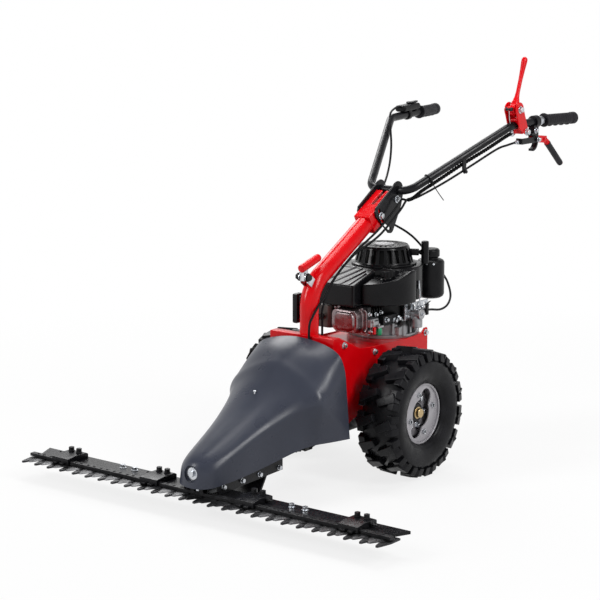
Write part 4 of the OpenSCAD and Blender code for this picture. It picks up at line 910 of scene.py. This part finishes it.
def governor():
    """Zinc plate above the carburettor, with its rod, spring and choke lever."""
    plate = start_block("governor_plate", (2.5, 78, 17), spot(106, 165, PLATE_Z))
    reshape(plate, -REAR, draw=(13, -7, -2))
    reshape(plate, REAR, draw=(-10, 8, -4))
    for y in (143, 161, 186):
        cut_away(plate, start_rod("slot", 4, spot(100, y, PLATE_Z), spot(112, y, PLATE_Z), 20))
    round_edges(plate, 0.5, 1)
    rod = draw_tube("governor_rod", [
        spot(*place) for place in
        ((108, 160, 402), (109, 161, 420), (109, 161, 440), (108, 160, 462), (104, 154, 470))], 1.7)
    coils = []
    for step in range(COIL_STEPS * COIL_COUNT):
        turn = step * pi / 6
        coils.append(spot(111 + 3 * cos(turn), 140 + step * 0.42, 398 + 3 * sin(turn)))
    spring = draw_tube("governor_spring", coils, 0.7)
    bolts = [hex_head("governor_bolt", spot(107.3, y, 402), (1, 0, 0), 7, 4, 12) for y in (134, 198)]
    tab = rounded_block("governor_tab", (12, 4, 22), spot(106, 154, 462), 1)
    bar = rounded_block("intake_bar", (8, 13, 46), spot(88, 125.4, 391), 1.4)
    finish_piece(join([plate, rod, spring, tab, bar, *bolts], "governor"), "chassis", "bright_steel")
    lever = start_block("choke_lever", (5, 11, 30), spot(121, 178, 394))
    reshape(lever, UP, inset=1, draw=(6, 6, 7))
    round_edges(lever, 1.2)
    finish_piece(lever, "chassis", "black_plastic", material=MATT_PLASTIC)


def carburettor_screws():
    screws = [
        hex_head("screw", spot(x, y, z), axis, 7, 4, 11)
        for x, y, z, axis in (
            (90.2, 136, 376, (1, 0, 0)), (90.2, 172, 376, (1, 0, 0)), (90.2, 136, 393, (1, 0, 0)),
            (90.2, 172, 393, (1, 0, 0)), (122, 154, 384, (1, 0, 0)), (104, 154, 347.6, (0, 0, -1)))]
    finish_piece(join(screws, "carburettor_screws"), "chassis", "bright_steel")


def side_studs(x, places, *sizes):
    return [hex_head("stud", spot(x, y, z), (1, 0, 0), *sizes) for y, z in places]


def case_details():
    """Bolts round the crankcase, a breather block, a side bracket and webs."""
    bolts = [
        hex_head("case_bolt", beside(outward(turn) * CASE_R, 0, ENGINE_Y, z), outward(turn), 9, 6, 15)
        for turn, z in ((-62, 373), (-42, 371), (-24, 374), (-6, 374), (14, 374), (48, 372), (90, 372))]
    finish_piece(join(bolts, "case_bolts"), "chassis", "bright_steel")
    breather = start_block("breather", (20, 34, 22), spot(68, 3, 380))
    reshape(breather, LEFT, inset=5, draw=(5, 0, 0))
    round_edges(breather, 2.2, 3)
    studs = side_studs(78, ((-9, 386), (15, 374)), 7, 4, 11)
    finish_piece(join([breather, *studs], "breather"), "chassis", "cast_alloy")
    bracket = start_block("side_bracket", (16, 66, 26), spot(73, 70, 378))
    reshape(bracket, LEFT, inset=4, draw=(-3, 0, 0))
    round_edges(bracket, 1.6)
    finish_piece(bracket, "chassis", "gear_case")
    studs = side_studs(78, ((52, 381), (91, 373)), 9, 7, 15)
    studs += side_studs(66, ((23, 398), (-6, 402), (44, 400)), 7, 5, 11)
    finish_piece(join(studs, "side_studs"), "chassis", "bright_steel")
    webs = []
    for turn, high in ((-78, 34), (-58, 30), (-38, 36), (-20, 28), (-2, 36), (16, 30), (34, 34)):
        at = beside(outward(turn) * WEB_RING, 0, ENGINE_Y, WEB_FOOT + high / 2)
        web = start_block("web", (12, 8, high), at, (0, 0, radians(turn)))
        reshape(web, UP, resize=(0.7, 0.7, 1))
        round_edges(web, 1.4)
        webs.append(web)
    finish_piece(join(webs, "case_webs"), "chassis", "cast_alloy")


def fuel_tap():
    """The tap with its red lever, and the green bowl under its holder, on the cylinder's near side."""
    tap = turn_profile("fuel_tap", [
        (0, 0), (0, 6), (8, 6), (9, 8), (16, 8), (17, 5), (22, 5), (23, 0)], spot(60, -5, 358), (1, 0, 0), 20)
    finish_piece(tap, "chassis", "bright_steel")
    knob = start_block("tap_lever", (6, 7, 19), spot(82, -5, 361))
    reshape(knob, UP, resize=(0.8, 1.5, 1))
    round_edges(knob, 1.4)
    finish_piece(knob, "chassis", "red_plastic")
    bowl = turn_profile("filter_bowl", [
        (0, 0), (0, 7), (3, 8), (16, 8), (19, 6), (20, 0)], spot(74, 27, 344), (0, 0, 1), 24)
    finish_piece(bowl, "chassis", "black_plastic", material=GREEN_PLASTIC)
    holder = rounded_block("bowl_holder", (18, 26, 6), spot(72, 27, 366), 1.6)
    finish_piece(holder, "chassis", "cast_alloy")


def canister_screws():
    screws = [
        hex_head("screw", beside(outward(turn) * CANISTER_R, *CANISTER_TOP), outward(turn), 6, 3, 9)
        for turn in (-74, -44, 100)]
    finish_piece(join(screws, "canister_screws"), "chassis", "bright_steel")


# Controls at the handles

LEVER_PIVOT = Vector((196.5, 470.16, 900.74))
CLUTCH_PIVOT = Vector((204, 559.16, 814.74))
GRIP_END = Vector((230, 735.16, 861.74))
GRIP_DIR = Vector((0.193251, 0.981121, -0.00743))
GRIP_LONG = 128
RIB_COUNT = 10
RIB_PITCH = 9
BUMP_COUNT = 4
TUBE_BEND = Vector((194, 456.16, 856.74))
TUBE_BASE = Vector((62, 172.16, 700.74))
TUBE_DIR = (TUBE_BASE - TUBE_BEND).normalized()
HANDLE_DIR = Vector((0.0678, 0.99687, 0.0407))
TUBE_R = 11
BAND_ALONG = 125
TAB_ALONG = 160
TIE_ALONG = 284
BRACKET_SLOPE = radians(30.1)


def drive_lever_rod():
    """A tapered rod with a round end, on a round hub with the wire's ear in front."""
    foot, tip = LEVER_PIVOT + Vector((0, 5, 12)), LEVER_PIVOT + Vector((0, 51, 137))
    long = (tip - foot).length
    rod = turn_profile("drive_lever_rod", [
        (-6, 0), (-4, 12), (4, 11.5), (12, 9), (22, 6.6), (36, 5.4), (70, 5.6), (long - 34, 6.8),
        (long - 16, 8.2), (long - 7, 8.2), (long - 2.4, 6.2), (long - 0.4, 2.6), (long, 0)],
        spot(*foot), tip - foot, 28)
    hub = turn_profile("hub", [
        (-9, 0), (-9, 13.5), (-7.4, 16), (-5, 17), (5, 17), (7.4, 16), (9, 13.5), (9, 0)],
        spot(*LEVER_PIVOT), (1, 0, 0), 36)
    ear = rounded_block("ear", (14, 30, 13), beside(LEVER_PIVOT, 0, -14, 4), 4, 3)
    finish_piece(join([rod, hub, ear], "drive_lever_rod"), "drive_lever", "red_plastic", "drive_lever")
    nipple = turn_profile("wire_nipple", [
        (-10, 0), (-10, 4), (-9, 5), (9, 5), (10, 4), (10, 0)], beside(LEVER_PIVOT, 0, -25, 3), (1, 0, 0), 20)
    finish_piece(nipple, "drive_lever", "dark_steel")


def bare_wire():
    """The drive cable's inner wire from its conduit up to the lever, with the screw that sets its length."""
    line = smooth_route([(196.3, 462, 838), (196.4, 455, 856), (196.5, 447, 880), (196.5, 445.5, 903)], 5)
    wire = draw_tube("bare_wire", line, 0.9)
    wire.data.materials.append(FINISHES["bright_steel"])
    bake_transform(wire)
    screw = turn_profile("wire_adjuster", [
        (-4, 0), (-4, 5.6), (4, 5.6), (4.6, 4.6), (6, 4.6), (7, 6.4), (11, 6.4), (12, 4), (22, 4), (22, 0)],
        spot(196.2, 463.4, 834.5), (0.005, -0.36, 0.93), 6)
    finish_piece(screw, "handlebar", "bright_steel")


def bracket_saddle():
    """The casting's body between the two cheeks, round the tube and clear of the lever's hub."""
    saddle = start_block(
        "bracket_saddle", (34, 30, 48), beside(LEVER_PIVOT, 0, 22, -40), (BRACKET_SLOPE, 0, 0))
    round_edges(saddle, 4, 3)
    finish_piece(saddle, "handlebar", "red_plastic")


def bracket_bolts():
    bolts = [
        hex_head("bracket_bolt", beside(LEVER_PIVOT, side * 19.2, along, up), (side, 0, 0), 13, 7, 20)
        for along, up in ((0, 0), (36, -62)) for side in (-1, 1)]
    finish_piece(join(bolts, "bracket_bolts"), "handlebar", "bright_steel")


def clutch_hook():
    """Crescent that carries the clutch cable's end, and the clamp's bolts."""
    centre = CLUTCH_PIVOT + Vector((2.5, -14, -6))
    half, outer, inner = 8, 25, 18.5
    hook = draw_line("clutch_hook", [
        beside(centre, x, 0, radius)
        for x, radius in ((-half, inner), (half, inner), (half, outer), (-half, outer), (-half, inner))])
    open_whole(hook)
    bpy.ops.mesh.remove_doubles(threshold=1e-6)
    bpy.ops.transform.rotate(
        value=radians(-25), orient_axis="X", center_override=tuple(spot(*centre)))
    bpy.ops.mesh.spin(steps=22, angle=radians(205), center=spot(*centre), axis=(1, 0, 0))
    bpy.ops.mesh.select_all(action="DESELECT")
    bpy.ops.mesh.select_non_manifold()
    bpy.ops.mesh.fill()
    close_clean()
    round_edges(hook, 1.2)
    finish_piece(hook, "handlebar", "black_paint")
    ferrule = turn_profile("clutch_ferrule", [
        (-3, 0), (-3, 4.6), (5, 4.6), (6, 6.2), (11, 6.2), (12, 4.2), (20, 4.2), (21, 0)],
        spot(204, 486, 814), (0, -1, -0.06), 14)
    bolts = [hex_head("clamp_bolt", beside(CLUTCH_PIVOT, 9.2, -2, 24), (1, 0, 0), 10, 6, 16),
             hex_head("clamp_bolt", beside(CLUTCH_PIVOT, 17, 0, 0), (1, 0, 0), 10, 5, 15)]
    finish_piece(join([ferrule, *bolts], "clamp_fixings"), "handlebar", "bright_steel")


def lever_sleeve():
    """Black sleeve over the clutch lever's lower end."""
    begin, end = CLUTCH_PIVOT + Vector((0, 76, -16)), CLUTCH_PIVOT + Vector((0, 154, -82))
    long = (end - begin).length
    sleeve = turn_profile("lever_sleeve", [
        (0, 7.2), (0, 8.6), (1.5, 9.2), (5, 9.2), (6.5, 8.6), (long - 8, 8.6), (long - 3, 7.4), (long, 4),
        (long + 0.6, 0)], spot(*begin), end - begin, 28)
    finish_piece(sleeve, "clutch_lever", "grip_rubber")


def tube_band():
    """Zinc band on the handle between the lever's clamp and the grip."""
    band = turn_profile("tube_band", [
        (0, 10.6), (0, 11.7), (0.8, 12.2), (20.2, 12.2), (21, 11.7), (21, 10.6), (0, 10.6)],
        spot(*(TUBE_BEND + HANDLE_DIR * BAND_ALONG)), HANDLE_DIR, 32)
    finish_piece(band, "handlebar", "bright_steel")


def make_grip(name):
    """Soft grip with a flange, an end band and finger bumps below."""
    inner_end = GRIP_END - GRIP_LONG * GRIP_DIR
    profile = [(0, TUBE_R), (0, 18.4), (1, 19), (4, 19), (5.4, 17.6), (7, 15.6), (10, 15)]
    for rib in range(RIB_COUNT):
        begin = 14 + RIB_PITCH * rib
        profile += [(begin, 14.9), (begin + 1, 15.4), (begin + 6, 15.4), (begin + 7, 14.9)]
    profile += [(110, 14.9), (111, 16), (112, 16.6), (125, 16.6), (128, 15.2), (130, 12), (130.6, 0)]
    grip = turn_profile(name, profile, spot(*inner_end), GRIP_DIR, 40)
    bumps = []
    for step in range(BUMP_COUNT):
        deselect()
        at = beside(inner_end + GRIP_DIR * (25 + 24 * step), 0, 0, -10.5)
        bpy.ops.mesh.primitive_uv_sphere_add(segments=24, ring_count=12, radius=1, location=at)
        bump = name_new("bump")
        open_whole(bump)
        bpy.ops.transform.resize(value=in_metres((10, 11, 7.6)), center_override=tuple(at))
        close_mesh()
        bumps.append(bump)
    return join([grip, *bumps], name)


def make_grips():
    left = make_grip("grips_soft")
    right = mirror_x(left, "grip_right")
    finish_piece(join([left, right], "grips_soft"), "handlebar", "grip_rubber", "grips")


def cable_tab():
    """Tab with a nut below the tube."""
    at = TUBE_BEND + TUBE_DIR * TAB_ALONG
    tab = start_block("cable_tab", (5, 20, 34), beside(at, 3, -4, -26))
    reshape(tab, -UP, resize=(1, 0.6, 1), move=(2, -4, 0))
    round_edges(tab, 1.4)
    finish_piece(tab, "handlebar", "black_paint")
    nut = hex_head("tab_nut", beside(at, 7, -8, -40), (1, -0.2, -0.1), 9, 6, 13)
    finish_piece(nut, "handlebar", "dark_steel")


def cable_tie():
    """The tie farther down the tube, with its loose tail."""
    middle = TUBE_BEND + TUBE_DIR * TIE_ALONG
    across = TUBE_DIR.cross(UP).normalized()
    up = across.cross(TUBE_DIR)
    ring = []
    for step in range(33):
        turn = 2 * pi * step / 32
        drop = 22 if sin(turn) < 0 else 12.6
        ring.append(spot(*(middle + across * 13 * cos(turn) + up * drop * sin(turn))))
    band = draw_tube("tie_band", ring, 1.5)
    places = [middle - across * out - up * down for out, down in ((13, 8), (18, 22), (26, 42), (36, 60))]
    head = rounded_block("tie_head", (7, 6, 6), spot(*places[0]), 1)
    tail = draw_tube("tie_tail", smooth_route(places, 6), 1.2)
    finish_piece(
        join([head, band, tail], "cable_tie"), "handlebar", "black_plastic", material=CABLE_JACKET)


# Knife: ground sections and their rivets

SECTION_PITCH = 43.9
SECTION_COUNT = 25
SECTION_Z = 51.3
SECTION_T = 3
SECTION_HALF = 21.45
SECTION_REAR = -596.5
SECTION_NECK = -614.5
SECTION_TIP = -647
TIP_HALF = 4
EDGE_T = 0.4
GRIND = (0.34, 0.94)
BACK_TOP = 62.3
RIVET_X = 10
RIVET_Y = -603


def knife_blade():
    """One section: a plate drawn out to a blunt tip, with both sides ground."""
    deep = SECTION_REAR - SECTION_NECK
    blade = start_block(
        "blade", (2 * SECTION_HALF, deep, SECTION_T),
        spot(0, SECTION_REAR - deep / 2, SECTION_Z + SECTION_T / 2))
    reshape(blade, -REAR, draw=(0, SECTION_TIP - SECTION_NECK, 0), resize=(TIP_HALF / SECTION_HALF, 1, 1))
    slant = Vector((SECTION_NECK - SECTION_TIP, TIP_HALF - SECTION_HALF, 0)).normalized()
    flat, steep = GRIND
    open_mesh(blade)
    for side in (1, -1):
        bpy.ops.mesh.select_all(action="SELECT")
        bpy.ops.mesh.bisect(
            plane_co=spot(side * SECTION_HALF, SECTION_NECK, SECTION_Z + EDGE_T),
            plane_no=(side * slant.x * flat, slant.y * flat, steep), use_fill=True, clear_outer=True)
    close_clean()
    return blade


def rivet_head(x):
    rivet = start_rod("rivet", 3.6, spot(x, RIVET_Y, BACK_TOP - 1), spot(x, RIVET_Y, BACK_TOP + 1.6), 12)
    round_edges(rivet, 1.2, 1, 40)
    return rivet


def make_knife():
    blade = knife_blade()
    rivets = join([rivet_head(-RIVET_X), rivet_head(RIVET_X)], "rivets")
    blades, heads = [], []
    for step in range(SECTION_COUNT):
        shift = Matrix.Translation(((step - (SECTION_COUNT - 1) / 2) * SECTION_PITCH * MM, 0, 0))
        blades.append(duplicate(blade, "blade", shift))
        if step != SECTION_COUNT // 2:
            heads.append(duplicate(rivets, "rivets", shift))
    bpy.data.objects.remove(blade)
    bpy.data.objects.remove(rivets)
    finish_piece(join(blades, "knife_blades"), "knife", "bright_steel", "knife_sections", material=BLADE)
    finish_piece(join(heads, "knife_rivets"), "knife", "dark_steel")


# Stage: pale floor, white surroundings and soft lamps

WHITE = (1, 1, 1, 1)
FLOOR_GREY = (0.72, 0.72, 0.72, 1)
WORLD_LIGHT = 0.22
AZIMUTH = radians(37.7341)
ELEVATION = radians(10.9435)
CAMERA_AT = (2.779, -3.84643, 1.3415)
LENS_MM = 111.27
LAMPS_AIM = Vector((0, 0, 0.4))
# Each lamp's name, place, size and power
LAMPS = [
    ("key", (-1.8, -3.2, 2.4), (1.0, 2.0), 85), ("side", (2.7, -0.3, 2.5), (0.7, 1.8), 66),
    ("top", (-0.2, 0.6, 3.4), (2.0, 1.0), 50), ("rear", (-2.3, 1.9, 2.5), (1.8, 1.4), 50)]


def white_to_sight(tree, seen, lit, share=1.0):
    """Mixes what sight and reflections get with what light gets, by a share of the first."""
    path = add_node(tree, "LightPath").outputs
    either = reckon(tree, "MAXIMUM", path["Is Camera Ray"], path["Is Glossy Ray"])
    any_ray = reckon(tree, "MAXIMUM", either, path["Is Transmission Ray"])
    mix = add_node(tree, "MixShader", Fac=reckon(tree, "MULTIPLY", any_ray, share))
    plug(tree, mix.inputs[1], lit)
    plug(tree, mix.inputs[2], seen)
    return mix.outputs["Shader"]


def set_world():
    """White round the horizon and below it, greyer overhead."""
    world = bpy.data.worlds.new("studio")
    bpy.context.scene.world = world
    world.use_nodes = True
    tree = world.node_tree
    lit = plug_all(tree, tree.nodes["Background"], Color=WHITE, Strength=WORLD_LIGHT)
    height = height_in(tree, add_node(tree, "TexCoord").outputs["Object"])
    seen = add_node(tree, "Background", Color=WHITE, Strength=fade(tree, height, (0.20, 1.0), (0.65, 0.25)))
    mixed = white_to_sight(tree, seen.outputs[0], lit.outputs[0])
    plug_all(tree, tree.nodes["World Output"], Surface=mixed)


def lay_floor():
    """Pale floor that keeps the shadow near the object and turns white farther off."""
    deselect()
    bpy.ops.mesh.primitive_plane_add(size=160, location=(0, 0, 0))
    floor = name_new("floor")
    finish = Finish("pale_floor")
    tree = finish.tree
    finish.set(Base_Color=FLOOR_GREY, Roughness=0.9, Specular_IOR_Level=0.0)
    seen = add_node(tree, "Emission", Color=WHITE, Strength=1.0)
    away = add_node(tree, "VectorMath", Vector=finish.coords)
    away.operation = "LENGTH"
    share = fade(tree, away.outputs["Value"], (0.6, 0.80), (2.2, 1.0))
    mixed = white_to_sight(tree, seen.outputs[0], tree.nodes["Principled BSDF"].outputs[0], share)
    plug_all(tree, tree.nodes["Material Output"], Surface=mixed)
    floor.data.materials.append(finish.material)


def hang_lamp(name, at, size, power):
    lamp = bpy.data.lights.new(name, "AREA")
    lamp.shape = "RECTANGLE"
    lamp.size, lamp.size_y = size
    lamp.energy = power
    obj = bpy.data.objects.new(name, lamp)
    obj.location = at
    obj.rotation_euler = (LAMPS_AIM - Vector(at)).to_track_quat("-Z", "Y").to_euler()
    show(obj)


def set_camera():
    ahead = Vector((-sin(AZIMUTH) * cos(ELEVATION), cos(AZIMUTH) * cos(ELEVATION), -sin(ELEVATION)))
    lens = bpy.data.cameras.new("view")
    lens.lens = LENS_MM
    lens.sensor_width = 36
    camera = bpy.data.objects.new("view", lens)
    camera.location = CAMERA_AT
    camera.rotation_euler = ahead.to_track_quat("-Z", "Y").to_euler()
    show(camera)
    bpy.context.scene.camera = camera


def set_stage():
    bpy.context.scene.view_settings.view_transform = "Standard"
    set_world()
    lay_floor()
    set_camera()
    for lamp in LAMPS:
        hang_lamp(*lamp)


set_stage()
finish_nodes()
for node, radius in EDGE_RADII.items():
    ease_edges(node, radius)
for node, (grain, rounds) in SOFT_NODES.items():
    melt_edges(node, grain, rounds)
smooth_node("handle_tube", 40)
make_column()
make_knee_lever()
make_cables()
make_cowl()
make_tyre("tyre_left", 1)
make_tyre("tyre_right", -1)
make_hub("hub_left", 1)
make_hub("hub_right", -1)
wheel_sockets()
starter_screen()
shroud_ridges()
governor()
carburettor_screws()
case_details()
fuel_tap()
canister_screws()
drive_lever_rod()
bare_wire()
bracket_saddle()
bracket_bolts()
clutch_hook()
lever_sleeve()
tube_band()
make_grips()
cable_tab()
cable_tie()
make_knife()
